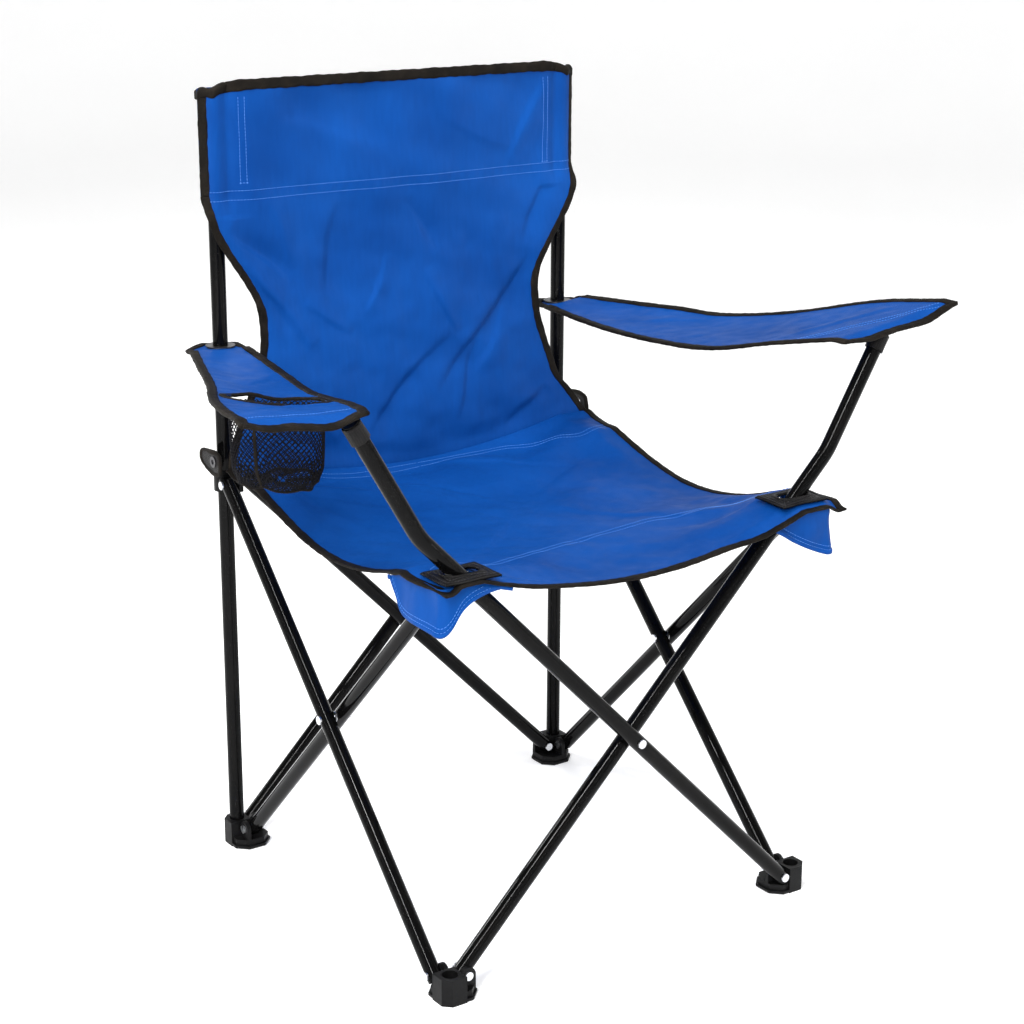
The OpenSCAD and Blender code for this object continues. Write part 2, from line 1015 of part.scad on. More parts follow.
foot(REAR_LEFT);  // rear_left_foot
foot(REAR_RIGHT);  // rear_right_foot
foot(FRONT_LEFT);  // front_left_foot
foot(FRONT_RIGHT);  // front_right_foot
foot_rivets(REAR_LEFT);  // rear_left_foot_rivets
foot_rivets(REAR_RIGHT);  // rear_right_foot_rivets
foot_rivets(FRONT_LEFT);  // front_left_foot_rivets
foot_rivets(FRONT_RIGHT);  // front_right_foot_rivets
post(REAR_LEFT);  // left_post
post(REAR_RIGHT);  // right_post
post_cap(REAR_LEFT);  // left_post_cap
post_cap(REAR_RIGHT);  // right_post_cap
slider(REAR_LEFT);  // left_slider
slider(REAR_RIGHT);  // right_slider
slider_rivets(REAR_LEFT);  // left_slider_rivets
slider_rivets(REAR_RIGHT);  // right_slider_rivets
front_left_hub();
front_right_hub();
front_left_hub_rivets();
front_right_hub_rivets();
inner_tube(LEFT);  // left_inner_tube
outer_tube(LEFT);  // left_outer_tube
inner_tube(RIGHT);  // right_inner_tube
outer_tube(RIGHT);  // right_outer_tube
inner_tube(BACK);  // back_inner_tube
outer_tube(BACK);  // back_outer_tube
front_inner_tube();
front_outer_tube();
centre_rivet(LEFT);  // left_centre_rivet
centre_rivet(RIGHT);  // right_centre_rivet
centre_rivet(BACK);  // back_centre_rivet
centre_rivet(FRONT);  // front_centre_rivet
left_arm_cap();
right_arm_cap();
left_arm_pocket();
right_arm_pocket();
left_seat();
right_seat();
backrest();
left_sleeve();
right_sleeve();
left_armrest();
right_armrest();
left_arm_heel();
right_arm_heel();
left_arm_eyelet();
right_arm_eyelet();
cup_bag();
cup_rim();
left_corner_patch();
right_corner_patch();
left_corner_pocket();
right_corner_pocket();
left_corner_tab();
right_corner_tab();
left_tab_eyelet();
right_tab_eyelet();
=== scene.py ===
"""Folding camp chair: cloth, bindings, stitching and net bag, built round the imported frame."""
import math

import bpy
import numpy as np
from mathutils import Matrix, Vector


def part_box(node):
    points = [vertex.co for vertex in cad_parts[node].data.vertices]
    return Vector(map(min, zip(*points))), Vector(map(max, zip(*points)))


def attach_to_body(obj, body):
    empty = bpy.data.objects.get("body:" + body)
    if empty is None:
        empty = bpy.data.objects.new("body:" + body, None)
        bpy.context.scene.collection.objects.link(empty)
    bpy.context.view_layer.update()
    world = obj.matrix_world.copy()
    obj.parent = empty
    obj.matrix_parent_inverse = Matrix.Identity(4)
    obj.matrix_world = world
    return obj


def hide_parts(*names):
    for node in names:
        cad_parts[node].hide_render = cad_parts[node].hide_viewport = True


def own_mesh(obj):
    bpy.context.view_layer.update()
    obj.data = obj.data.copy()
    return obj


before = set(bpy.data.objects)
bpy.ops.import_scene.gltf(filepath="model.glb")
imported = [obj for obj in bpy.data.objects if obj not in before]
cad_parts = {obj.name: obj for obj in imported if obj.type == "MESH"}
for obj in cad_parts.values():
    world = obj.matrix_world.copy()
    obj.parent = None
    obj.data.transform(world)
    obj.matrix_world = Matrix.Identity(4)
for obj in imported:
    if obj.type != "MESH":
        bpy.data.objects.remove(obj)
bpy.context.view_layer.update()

# ---------------------------------------------------------------- sizes, in metres

post_low, post_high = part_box("right_post")
CORNER = (post_low.x + post_high.x) / 2          # distance of a post's axis from the middle
TUBE_R = (post_high.x - post_low.x) / 2
SLEEVE_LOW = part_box("right_sleeve")[0].z
SLEEVE_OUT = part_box("right_sleeve")[1].x
BACK_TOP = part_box("backrest")[1].z
SEAT_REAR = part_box("right_seat")[1].y
SEAT_CORNER_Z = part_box("right_seat")[1].z
SEAT_FRONT = -0.243                              # middle of the seat's front edge
SEAT_SKEW = 0.007                                # how far its left end lies forward and its right end back
SEAT_SIDE_X = 0.231
SEAT_FRONT_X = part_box("right_seat")[1].x
SEAT_SAG = 0.034
BACK_WAIST_X = 0.174
BACK_LOW_X = SEAT_SIDE_X - 0.003
SEAT_FLARE = 0.010                               # how much further out the seam ends on the right
PANEL_X = CORNER - 0.012                         # where the sleeves begin
SLEEVE_COLS = 11                                 # columns of the backrest's grid over each sleeve
SEAM_Y = SEAT_REAR + 0.0024
CLOTH_T = 0.0009
TAPE_W = 0.0082
SLOT_X, SLOT_HALF, SLOT_R = 0.2072, 0.0093, 0.0098   # middle, half length and end radius of the slots in the seat
SLOT_Y = {"left": -0.223, "right": -0.206}
ARM_REAR_Y = 0.2005                              # where an armrest ends and its heel begins
HEEL_HOLE_R = 0.0142
ARM_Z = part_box("right_arm_heel")[1].z
CUP_CENTRE = np.array([-0.318, -0.088, 0.5855])
CUP_TILT = math.radians(9)                       # rises towards the outside
CUP_PITCH = math.radians(10)                     # and towards the front
CUP_R = 0.047
CUP_LOW_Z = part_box("cup_bag")[0].z

SIGN = {"left": -1, "right": 1}

# fold settings for each cloth: joint, axis, anchor and share kept; nothing here makes the cloth gather
BACK_FOLD = dict(joint="fold", axis=(1, 0, 0), anchor=(-PANEL_X, 0, 0), keep=0.2)
SEAT_FOLD = dict(joint="fold", axis=(0, 1, 0), anchor=(0, -0.204, 0), keep=0.17)
ARM_FOLD = dict(joint="fold", axis=(0, 1, 0), anchor=(0, 0.201, 0), keep=0.37)


# ---------------------------------------------------------------- maths on grids of points

def unit(a):
    return a / np.maximum(np.linalg.norm(a, axis=-1, keepdims=True), 1e-12)


def smooth(t):
    t = np.clip(t, 0, 1)
    return t * t * (3 - 2 * t)


def bell(t):
    return np.exp(-np.square(t))


def ripples(x, y, wavelength, seed, heading=0.0, spread=math.pi, count=9):
    """Soft random waves about 1 high whose crests lie across heading."""
    draw = np.random.default_rng(seed)
    total = np.zeros(np.broadcast(x, y).shape)
    for _ in range(count):
        a = heading + spread * draw.uniform(-0.5, 0.5)
        k = 2 * math.pi / (wavelength * draw.uniform(0.7, 1.6))
        total += np.cos(k * (x * math.cos(a) + y * math.sin(a)) + draw.uniform(0, 2 * math.pi))
    return total / math.sqrt(count)


def crease(x, y, start, end, width):
    """A fold from start to end, steeper on its right, that is 1 high at its middle and fades at both ends."""
    start, end = np.array(start), np.array(end)
    run = end - start
    length = np.linalg.norm(run)
    along = ((x - start[0]) * run[0] + (y - start[1]) * run[1]) / length**2
    across = ((x - start[0]) * run[1] - (y - start[1]) * run[0]) / length
    across = across + 0.25 * width * np.sin(along * 5.0 + start[0] * 40)
    fade = np.sin(math.pi * np.clip(along, 0, 1)) ** 0.7
    return bell(across / np.where(across > 0, 0.45 * width, 1.5 * width)) * fade


def creased(d, x, y, creases, gain=1.0):
    """d with creases laid on it, each of them (start, end, width, height)."""
    for start, end, width, height in creases:
        d = d + gain * height * crease(x, y, start, end, width)
    return d


def grid_normals(points, side):
    """Unit normals of a grid of points, turned to the side of the vector side."""
    across = np.gradient(points, axis=1)
    along = np.gradient(points, axis=0)
    normal = unit(np.cross(across, along))
    flip = np.sign((normal * np.array(side)).sum(-1).mean())
    return normal * flip


def sample(grid, rows, cols):
    """Points of the grid at fractional rows and columns."""
    rows = np.clip(rows, 0, grid.shape[0] - 1.001)
    cols = np.clip(cols, 0, grid.shape[1] - 1.001)
    i, j = np.floor(rows).astype(int), np.floor(cols).astype(int)
    a, b = (rows - i)[..., None], (cols - j)[..., None]
    near = grid[i, j] * (1 - b) + grid[i, j + 1] * b
    far = grid[i + 1, j] * (1 - b) + grid[i + 1, j + 1] * b
    return near * (1 - a) + far * a


def through(points, count):
    """count points on a smooth curve through the given ones."""
    p = np.array(points, float)
    p = np.vstack([2 * p[0] - p[1], p, 2 * p[-1] - p[-2]])
    t = np.linspace(0, len(p) - 3 - 1e-9, count)
    i = np.floor(t).astype(int)
    f = (t - i)[:, None]
    a, b, c, d = p[i], p[i + 1], p[i + 2], p[i + 3]
    return 0.5 * (2 * b + (c - a) * f + (2 * a - 5 * b + 4 * c - d) * f**2 + (3 * b - a - 3 * c + d) * f**3)


def lengths(path):
    steps = np.linalg.norm(np.diff(path, axis=0), axis=1)
    return np.concatenate([[0], np.cumsum(steps)])


def evenly(path, step, *others):
    """The path, and what goes with it, at even steps."""
    s = lengths(path)
    wanted = np.linspace(0, s[-1], max(3, int(round(s[-1] / step)) + 1))
    return [np.column_stack([np.interp(wanted, s, column) for column in a.T]) for a in (path, *others)]


def paired(a, b):
    """Pairs of a and b, over the grid that they make together."""
    return np.stack(np.broadcast_arrays(a, b), -1)


def repeated(vector, count):
    return np.tile(np.array(vector, float), (count, 1))


# ---------------------------------------------------------------- meshes

def make_mesh(name, vertices, faces, material, uv=None, normals=None):
    mesh = bpy.data.meshes.new(name)
    mesh.from_pydata(np.asarray(vertices).tolist(), [], faces)
    mesh.validate()
    for polygon in mesh.polygons:
        polygon.use_smooth = True
    if uv is not None:
        layer = mesh.uv_layers.new(name="UVMap")
        index = np.zeros(len(mesh.loops), np.int32)
        mesh.loops.foreach_get("vertex_index", index)
        layer.data.foreach_set("uv", np.asarray(uv, np.float32)[index].ravel())
    mesh.materials.append(material)
    piece = bpy.data.objects.new(name, mesh)
    bpy.context.scene.collection.objects.link(piece)
    if normals is not None:
        mesh.normals_split_custom_set_from_vertices(np.asarray(normals).tolist())
    return piece


def cloth(name, points, normals, uv, material, keep=None, thickness=CLOTH_T):
    """A closed thin sheet about a grid of points. keep says which cells of the grid are cloth."""
    n, m = points.shape[:2]
    keep = np.ones((n - 1, m - 1), bool) if keep is None else keep
    top = (points + normals * thickness / 2).reshape(-1, 3)
    low = (points - normals * thickness / 2).reshape(-1, 3)
    k = n * m
    faces = []
    for i, j in np.argwhere(keep):
        a, b, c, d = i * m + j, i * m + j + 1, (i + 1) * m + j + 1, (i + 1) * m + j
        faces.append((a, b, c, d))
        faces.append((k + d, k + c, k + b, k + a))
        around = (
            (i > 0 and keep[i - 1, j], a, b),
            (j < m - 2 and keep[i, j + 1], b, c),
            (i < n - 2 and keep[i + 1, j], c, d),
            (j > 0 and keep[i, j - 1], d, a),
        )
        faces.extend((q, p, k + p, k + q) for inside, p, q in around if not inside)
    # the grid's own order may face either way, so turn every face with it
    i, j = np.argwhere(keep)[0]
    first = np.cross(points[i, j + 1] - points[i, j], points[i + 1, j] - points[i, j])
    if np.dot(first, normals[i, j]) < 0:
        faces = [f[::-1] for f in faces]
    used = np.unique(np.concatenate([np.array(f) for f in faces]))
    renumber = np.zeros(2 * k, int)
    renumber[used] = np.arange(len(used))
    faces = [tuple(int(renumber[v]) for v in f) for f in faces]
    flat = np.asarray(uv).reshape(-1, 2)
    return make_mesh(
        name,
        np.vstack([top, low])[used],
        faces,
        material,
        np.vstack([flat, flat])[used],
        np.vstack([normals.reshape(-1, 3), -normals.reshape(-1, 3)])[used],
    )


def sheet_area(points, keep=None):
    corner = points[:-1, :-1]
    cells = np.linalg.norm(np.cross(points[:-1, 1:] - corner, points[1:, :-1] - corner), axis=-1)
    return float((cells if keep is None else cells[keep]).sum())


def tube_faces(start, rings, sides):
    """Faces of a tube with both ends closed, whose vertices follow each other from start, ring by ring."""
    faces = []
    for i in range(rings - 1):
        for k in range(sides):
            a, b = start + i * sides + k, start + i * sides + (k + 1) % sides
            faces.append((a, b, b + sides, a + sides))
    faces.append(tuple(start + k for k in range(sides))[::-1])
    faces.append(tuple(start + (rings - 1) * sides + k for k in range(sides)))
    return faces


def swept(name, path, axis_a, axis_b, profile, material, closed=False):
    """A closed profile of (a, b) points carried along a path; profile may change from place to place."""
    n, m = len(path), profile.shape[-2]
    profile = np.broadcast_to(profile, (n, m, 2))
    ring = path[:, None] + profile[..., :1] * axis_a[:, None] + profile[..., 1:] * axis_b[:, None]
    faces = tube_faces(0, n, m)
    if closed:
        last = (n - 1) * m
        faces[-2:] = [(last + j, last + (j + 1) % m, (j + 1) % m, j) for j in range(m)]
    if np.dot(np.cross(axis_a[0], axis_b[0]), path[1] - path[0]) < 0:
        faces = [f[::-1] for f in faces]
    s = lengths(path)
    round_about = np.concatenate([[0], np.cumsum(np.linalg.norm(np.diff(profile[0], axis=0), axis=1))])
    uv = paired(s[:, None], round_about[None, :]).reshape(-1, 2)
    return make_mesh(name, ring.reshape(-1, 3), faces, material, uv)


TAPE_PROFILE = np.array([
    (-1.0, 0.30), (-0.97, 0.85), (-0.75, 1.0), (-0.40, 1.0), (-0.10, 1.05), (0.08, 0.75), (0.14, 0.0),
    (0.08, -0.75), (-0.10, -1.05), (-0.40, -1.0), (-0.75, -1.0), (-0.97, -0.85), (-1.0, -0.30),
])


def tape(name, path, normals, outward, seed, height, width=TAPE_W):
    """Binding folded over an edge: outward points off the cloth, and it covers width of both its faces."""
    path, normals, outward = evenly(path, 0.0022, normals, outward)
    normals, outward = unit(normals), unit(outward)
    s = lengths(path)
    draw = np.random.default_rng(seed)

    def waves(*wavelengths):
        return sum(np.sin(s * 2 * math.pi / w + draw.uniform(0, 6.3)) for w in wavelengths) / len(wavelengths)

    waver = waves(0.047, 0.029, 0.013)
    lift = waves(0.061, 0.021, 0.009)
    size = np.stack([width * (1 + 0.12 * waver), height * (1 + 0.16 * lift)], -1)
    profile = TAPE_PROFILE[None] * size[:, None]
    profile[..., 0] += 0.0004 * waver[:, None]
    return swept(name, path, outward, normals, profile, TAPE)


def edge_of(points, normals, side):
    """(path, normals, outward) along one side of a grid: first or last row or column."""
    pick = {
        "row0": (points[0], normals[0], points[0] - points[1]),
        "row1": (points[-1], normals[-1], points[-1] - points[-2]),
        "col0": (points[:, 0], normals[:, 0], points[:, 0] - points[:, 1]),
        "col1": (points[:, -1], normals[:, -1], points[:, -1] - points[:, -2]),
    }
    return pick[side]


STITCH_PITCH, STITCH_LENGTH = 0.0034, 0.0027
STITCH_RINGS = ((-0.5, 0.25, -0.2), (-0.25, 0.9, 0.45), (0.25, 0.9, 0.45), (0.5, 0.25, -0.2))


def stitches(name, lines, material, radius=0.00036, height=CLOTH_T / 2):
    """Rows of short thread stitches, each with five sides and four rings. Each line is (path, normals)."""
    sides = 5
    vertices, faces, uv = [], [], []
    for path, normals in lines:
        path, normals = evenly(path, STITCH_PITCH, normals)
        normals = unit(normals)
        forward = unit(np.gradient(path, axis=0))
        across = np.cross(normals, forward)
        for p, n, f, a in zip(path, normals, forward, across):
            base = p + n * height
            start = len(vertices)
            for t, swell, lift in STITCH_RINGS:
                centre = base + f * STITCH_LENGTH * t + n * radius * lift
                for q in range(sides):
                    turn = 2 * math.pi * q / sides
                    vertices.append(centre + radius * swell * (a * math.cos(turn) + n * math.sin(turn)))
                    uv.append((t * STITCH_LENGTH, q * radius))
            faces.extend(tube_faces(start, len(STITCH_RINGS), sides))
    return make_mesh(name, vertices, faces, material, uv)


def hole_in(points, distance):
    """Cuts a hole out of a grid. distance(x, y) is positive outside it.

    Returns the points, with those at the hole's rim moved onto it, and the cells that are kept.
    """
    x, y = points[..., 0], points[..., 1]
    centre = (points[:-1, :-1] + points[1:, 1:] + points[:-1, 1:] + points[1:, :-1]) / 4
    keep = distance(centre[..., 0], centre[..., 1]) > 0
    inside = ~keep
    touched = np.zeros(points.shape[:2], bool)
    solid = np.zeros(points.shape[:2], bool)
    for a in (slice(0, -1), slice(1, None)):
        for b in (slice(0, -1), slice(1, None)):
            touched[a, b] |= inside
            solid[a, b] |= keep
    rim = touched & solid
    d = distance(x, y)
    e = 1e-5
    gx = (distance(x + e, y) - distance(x - e, y)) / (2 * e)
    gy = (distance(x, y + e) - distance(x, y - e)) / (2 * e)
    moved = points.copy()
    moved[..., 0] = np.where(rim, x - d * gx, x)
    moved[..., 1] = np.where(rim, y - d * gy, y)
    return moved, keep


# ---------------------------------------------------------------- materials

class Graph:
    """A short way to write a material's nodes."""

    def __init__(self, name):
        self.material = bpy.data.materials.new(name)
        self.material.use_nodes = True
        self.tree = self.material.node_tree
        self.shader = self.tree.nodes["Principled BSDF"]

    def feed(self, node, **values):
        """Puts numbers on a node's inputs or links sockets to them, and returns its first output."""
        for name, value in values.items():
            into = node.inputs[name.replace("_", " ")]
            if isinstance(value, bpy.types.NodeSocket):
                self.tree.links.new(value, into)
            elif value is not None:
                into.default_value = value
        return node.outputs[0]

    def node(self, kind, **values):
        return self.feed(self.tree.nodes.new("ShaderNode" + kind), **values)

    def math(self, operation, *values):
        made = self.tree.nodes.new("ShaderNodeMath")
        made.operation = operation
        for socket, value in zip(made.inputs, values):
            if isinstance(value, float):
                socket.default_value = value
            else:
                self.tree.links.new(value, socket)
        return made.outputs[0]

    def total(self, *parts):
        """Sum of sockets, each times a number."""
        scaled = [self.math("MULTIPLY", value, share) for value, share in parts]
        total = scaled[0]
        for more in scaled[1:]:
            total = self.math("ADD", total, more)
        return total

    def uv(self, scale=1.0):
        """(u, v) sockets of the piece's own flat cloth, in metres times scale."""
        source = self.tree.nodes.new("ShaderNodeUVMap")
        source.uv_map = "UVMap"
        split = self.tree.nodes.new("ShaderNodeSeparateXYZ")
        self.feed(split, Vector=source.outputs[0])
        return [self.math("MULTIPLY", axis, scale) for axis in split.outputs[:2]]

    def noise(self, scale, detail=2.0, roughness=0.5, stretch=None):
        where = self.tree.nodes.new("ShaderNodeTexCoord").outputs["Object"]
        if stretch:
            where = self.node("Mapping", Vector=where, Scale=stretch)
        return self.node("TexNoise", Vector=where, Scale=scale, Detail=detail, Roughness=roughness)

    def ramp(self, factor, *stops):
        made = self.tree.nodes.new("ShaderNodeValToRGB")
        while len(made.color_ramp.elements) < len(stops):
            made.color_ramp.elements.new(0.5)
        for element, (position, colour) in zip(made.color_ramp.elements, stops):
            element.position = position
            element.color = (*colour, 1)
        self.tree.links.new(factor, made.inputs[0])
        return made.outputs[0]

    def remap(self, value, low, high, to_low, to_high):
        return self.node("MapRange", Value=value, From_Min=low, From_Max=high, To_Min=to_low, To_Max=to_high)

    def bump(self, height, strength, distance, under=None):
        return self.node("Bump", Height=height, Strength=strength, Distance=distance, Normal=under)

    def finish(self, colour, roughness, normal=None, **fixed):
        self.feed(self.shader, Base_Color=colour, Roughness=roughness, Normal=normal, **fixed)
        return self.material


def weave(graph, pitch):
    """Height of a plain weave of that thread pitch, from 0 to 1, and which of the two threads is on top."""
    u, v = graph.uv(math.pi / pitch)
    both = graph.math("MULTIPLY", graph.math("SINE", u), graph.math("SINE", v))
    height = graph.math("POWER", graph.math("ABSOLUTE", both), 0.5)
    return height, graph.math("GREATER_THAN", both, 0.0)


def cloth_material(name, deep, light, pitch=0.0011):
    """Coated plain-weave polyester: fine threads, faint slubs, and a soft sheen."""
    graph = Graph(name)
    height, warp = weave(graph, pitch)
    broad = graph.noise(9.0, 3.0)
    slub = graph.noise(260.0, 2.0, stretch=(1.0, 1.0, 0.18))
    mixed = graph.total((broad, 0.62), (slub, 0.16), (height, 0.06), (warp, 0.03))
    colour = graph.ramp(mixed, (0.30, deep), (0.72, light))
    rough = graph.remap(graph.noise(60.0, 2.0), 0.3, 0.7, 0.46, 0.60)
    small = graph.bump(graph.noise(900.0, 2.0), 0.10, 0.0002)
    normal = graph.bump(height, 0.32, 0.00022, small)
    return graph.finish(
        colour, rough, normal, Sheen_Weight=0.01, Sheen_Roughness=0.4, Sheen_Tint=(0.2, 0.5, 1.0, 1.0),
        Specular_IOR_Level=0.05,
    )


def tape_material():
    """Black woven binding: ribs across its length, with a brown-grey cast and paler worn ridges."""
    graph = Graph("binding_tape")
    u, v = graph.uv()
    rib = graph.math("ABSOLUTE", graph.math("SINE", graph.math("MULTIPLY", u, math.pi / 0.0013)))
    thread = graph.math("ABSOLUTE", graph.math("SINE", graph.math("MULTIPLY", v, math.pi / 0.0009)))
    height = graph.total((rib, 0.7), (thread, 0.3))
    worn = graph.noise(45.0, 4.0, roughness=0.65)
    colour = graph.ramp(
        graph.total((worn, 0.75), (height, 0.25)),
        (0.34, (0.0024, 0.0020, 0.0018)), (0.62, (0.0085, 0.0068, 0.0052)), (0.85, (0.026, 0.020, 0.014)),
    )
    normal = graph.bump(height, 0.45, 0.0003, graph.bump(worn, 0.25, 0.001))
    return graph.finish(colour, 0.66, normal, Specular_IOR_Level=0.06)


def webbing_material():
    """Coarse black webbing of the corner patches and tabs."""
    graph = Graph("webbing")
    height, warp = weave(graph, 0.0019)
    worn = graph.noise(70.0, 4.0, roughness=0.6)
    tone = graph.total((worn, 0.6), (height, 0.3), (warp, 0.05))
    colour = graph.ramp(tone, (0.35, (0.0022, 0.0021, 0.0023)), (0.85, (0.016, 0.015, 0.015)))
    normal = graph.bump(height, 0.6, 0.0005)
    return graph.finish(colour, 0.40, normal, Specular_IOR_Level=0.09)


def net_material():
    graph = Graph("net_thread")
    fuzz = graph.noise(1500.0, 3.0)
    colour = graph.ramp(fuzz, (0.3, (0.0020, 0.0020, 0.0028)), (0.75, (0.0085, 0.0085, 0.011)))
    return graph.finish(colour, 0.7, graph.bump(fuzz, 0.5, 0.0003), Specular_IOR_Level=0.05)


def thread_material(name, deep, light):
    graph = Graph(name)
    u, v = graph.uv()
    twist = graph.math("SINE", graph.math("MULTIPLY", graph.math("ADD", u, v), 2 * math.pi / 0.0007))
    tone = graph.total((twist, 0.2), (graph.noise(300.0, 2.0), 1.0))
    colour = graph.ramp(tone, (0.3, deep), (0.8, light))
    return graph.finish(colour, 0.55, graph.bump(twist, 0.3, 0.0001), Specular_IOR_Level=0.2)


def paint_material():
    """Glossy black powder coat with a faint orange peel, and a few dusty, rubbed places."""
    graph = Graph("tube_paint")
    peel = graph.noise(420.0, 2.0)
    dust = graph.noise(14.0, 5.0, roughness=0.6)
    fine = graph.noise(160.0, 3.0, stretch=(1.0, 1.0, 0.12))
    colour = graph.ramp(
        graph.total((dust, 0.7), (fine, 0.3)), (0.40, (0.0016, 0.0016, 0.0017)), (0.80, (0.0042, 0.0039, 0.0037)))
    rough = graph.remap(graph.total((dust, 1.0), (fine, 0.4)), 0.5, 1.0, 0.05, 0.12)
    return graph.finish(colour, rough, graph.bump(peel, 0.05, 0.0003), Specular_IOR_Level=0.075)


def plastic_material():
    """Satin moulded plastic with a fine spark-eroded grain and scuffs."""
    graph = Graph("moulded_plastic")
    grain = graph.noise(1100.0, 2.0)
    scuff = graph.noise(38.0, 6.0, roughness=0.72)
    colour = graph.ramp(
        scuff, (0.40, (0.0026, 0.0026, 0.0028)), (0.62, (0.0060, 0.0060, 0.0062)), (0.78, (0.017, 0.017, 0.017)))
    rough = graph.remap(scuff, 0.35, 0.7, 0.34, 0.58)
    normal = graph.bump(grain, 0.18, 0.0002, graph.bump(scuff, 0.12, 0.0008))
    return graph.finish(colour, rough, normal, Specular_IOR_Level=0.10)


def metal_material(name, tint, low_rough, high_rough):
    graph = Graph(name)
    brushed = graph.noise(700.0, 3.0, stretch=(1.0, 1.0, 0.05))
    tarnish = graph.noise(90.0, 4.0)
    colour = graph.ramp(tarnish, (0.3, tuple(c * 0.7 for c in tint)), (0.7, tint))
    rough = graph.remap(graph.total((brushed, 1.0), (tarnish, 1.0)), 0.6, 1.4, low_rough, high_rough)
    return graph.finish(colour, rough, graph.bump(brushed, 0.08, 0.0001), Metallic=1.0)


BLUE = cloth_material("blue_cloth", (0.0011, 0.035, 0.178), (0.0034, 0.061, 0.278))
TAPE = tape_material()
WEBBING = webbing_material()
NET = net_material()
THREAD = thread_material("blue_thread", (0.025, 0.12, 0.42), (0.09, 0.25, 0.64))
BLACK_THREAD = thread_material("black_thread", (0.008, 0.008, 0.009), (0.045, 0.045, 0.048))
PAINT = paint_material()
PLASTIC = plastic_material()
STEEL = metal_material("rivet_steel", (0.74, 0.75, 0.78), 0.18, 0.42)
DARK_STEEL = metal_material("eyelet_steel", (0.09, 0.09, 0.095), 0.25, 0.5)


# ---------------------------------------------------------------- putting pieces on bodies

def attach(body, pieces, fold=None):
    """Lets the pieces ride on a body; given a fold, each piece also gets its own copy of its mesh."""
    for piece in pieces:
        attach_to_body(piece, body)
        if fold:
            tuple(fold["axis"])
            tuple(fold["anchor"])
            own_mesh(piece)


# ---------------------------------------------------------------- seat

SEAT_MID_Y = (SEAT_FRONT + SEAT_REAR) / 2
SEAT_HALF_Y = (SEAT_REAR - SEAT_FRONT) / 2


def seat_top(x, y):
    """Height of the seat solid's upper face."""
    t = (y - SEAT_MID_Y) / SEAT_HALF_Y
    s = np.minimum(1, np.abs(x) / SEAT_SIDE_X / 0.86)
    e = np.minimum(1, np.abs(t) / 0.70)
    return SEAT_CORNER_Z - SEAT_SAG * (1 - 0.3 * smooth(t)) * (1 - s * s * e * e)


def seam_z(x):
    """Height of the seam between the seat and the backrest."""
    return seat_top(x, SEAT_REAR) + 0.0042


def seat_edge(y0, u):
    """Half width of the seat, on the side that u's sign says."""
    flare = SEAT_FLARE * smooth((y0 - 0.125) / 0.055) * (u > 0)
    return SEAT_SIDE_X + (SEAT_FRONT_X - SEAT_SIDE_X) * smooth((-0.110 - y0) / 0.110) + flare


SEAT_CREASES = (
    ((-0.17, -0.17), (-0.02, -0.02), 0.012, 0.0014),
    ((0.17, -0.16), (0.03, 0.00), 0.011, -0.0012),
    ((0.19, 0.10), (0.05, 0.02), 0.014, 0.0015),
    ((-0.19, 0.12), (-0.06, 0.04), 0.013, -0.0013),
    ((0.02, 0.17), (0.16, 0.08), 0.010, 0.0011),
    ((-0.06, 0.16), (0.04, 0.02), 0.014, -0.0012),
)


def seat_folds(x, y):
    """Wrinkles of the seat, in metres: slack waves, and folds that run out of the corners."""
    d = 0.0022 * ripples(x, y, 0.150, 11) + 0.0007 * ripples(x, y, 0.052, 12)
    d = d + 0.00014 * ripples(x, y, 0.018, 13)
    for sign, corner_y, phase in ((-1, SLOT_Y["left"], 3), (1, SLOT_Y["right"], 5), (-1, 0.184, 7), (1, 0.184, 9)):
        dx, dy = x - sign * 0.215, y - corner_y
        d = d + 0.0022 * np.cos(9 * np.arctan2(dy, dx) + phase) * bell((np.hypot(dx, dy) - 0.095) / 0.05)
    return creased(d, x, y, SEAT_CREASES, 1.5)


def seat_points(u, r):
    """Points of the seat: u runs from -1 on the left to 1 on the right, and r from 0 in front to 1 at the seam."""
    y0 = SEAT_FRONT + (SEAM_Y - SEAT_FRONT) * r
    x = seat_edge(y0, u) * u
    y = y0 + SEAT_SKEW * x / SEAT_FRONT_X * (1 - r)
    inner = smooth((1 - np.abs(u)) / 0.14) * smooth(r / 0.10) * smooth((1 - r) / 0.06)
    z = seat_top(x, np.minimum(y, SEAT_REAR)) - 0.0012 + 0.0054 * bell((SEAM_Y - y) / 0.013)
    near = smooth((np.hypot(np.abs(x) - 0.210, y + 0.2145) - 0.03) / 0.04)
    # in front of the corner patches the edge hangs down, more so on the right, and the tips pull in
    left, behind = x < 0, r * (SEAM_Y - SEAT_FRONT)
    hang = np.where(left, 0.0020, 0.0065) * smooth((np.abs(x) - 0.085) / 0.07) * smooth((0.021 - behind) / 0.019)
    reach, inside = np.where(left, 0.100, 0.040), np.where(left, 0.80, 0.89)
    tip = smooth((np.abs(u) - inside) / (1 - inside)) * smooth((reach - behind) / reach)
    droop = np.where(left, 0.0045, 0.0095 * (1 - 0.6 * tip)) * smooth((np.abs(x) - 0.230) / 0.024)
    droop = droop * smooth((np.where(left, -0.112, -0.140) - y) / 0.060)
    z = z + seat_folds(x, y) * inner * near - hang - droop - 0.0025 * tip
    pull = np.where(left, 0.0235, 0.0070) * tip
    return np.stack([x - np.sign(x) * pull, y + 0.12 * pull, z], -1)


SEAT_GRID = seat_points(*np.meshgrid(np.linspace(-1, 1, 171), np.linspace(0, 1, 157)))


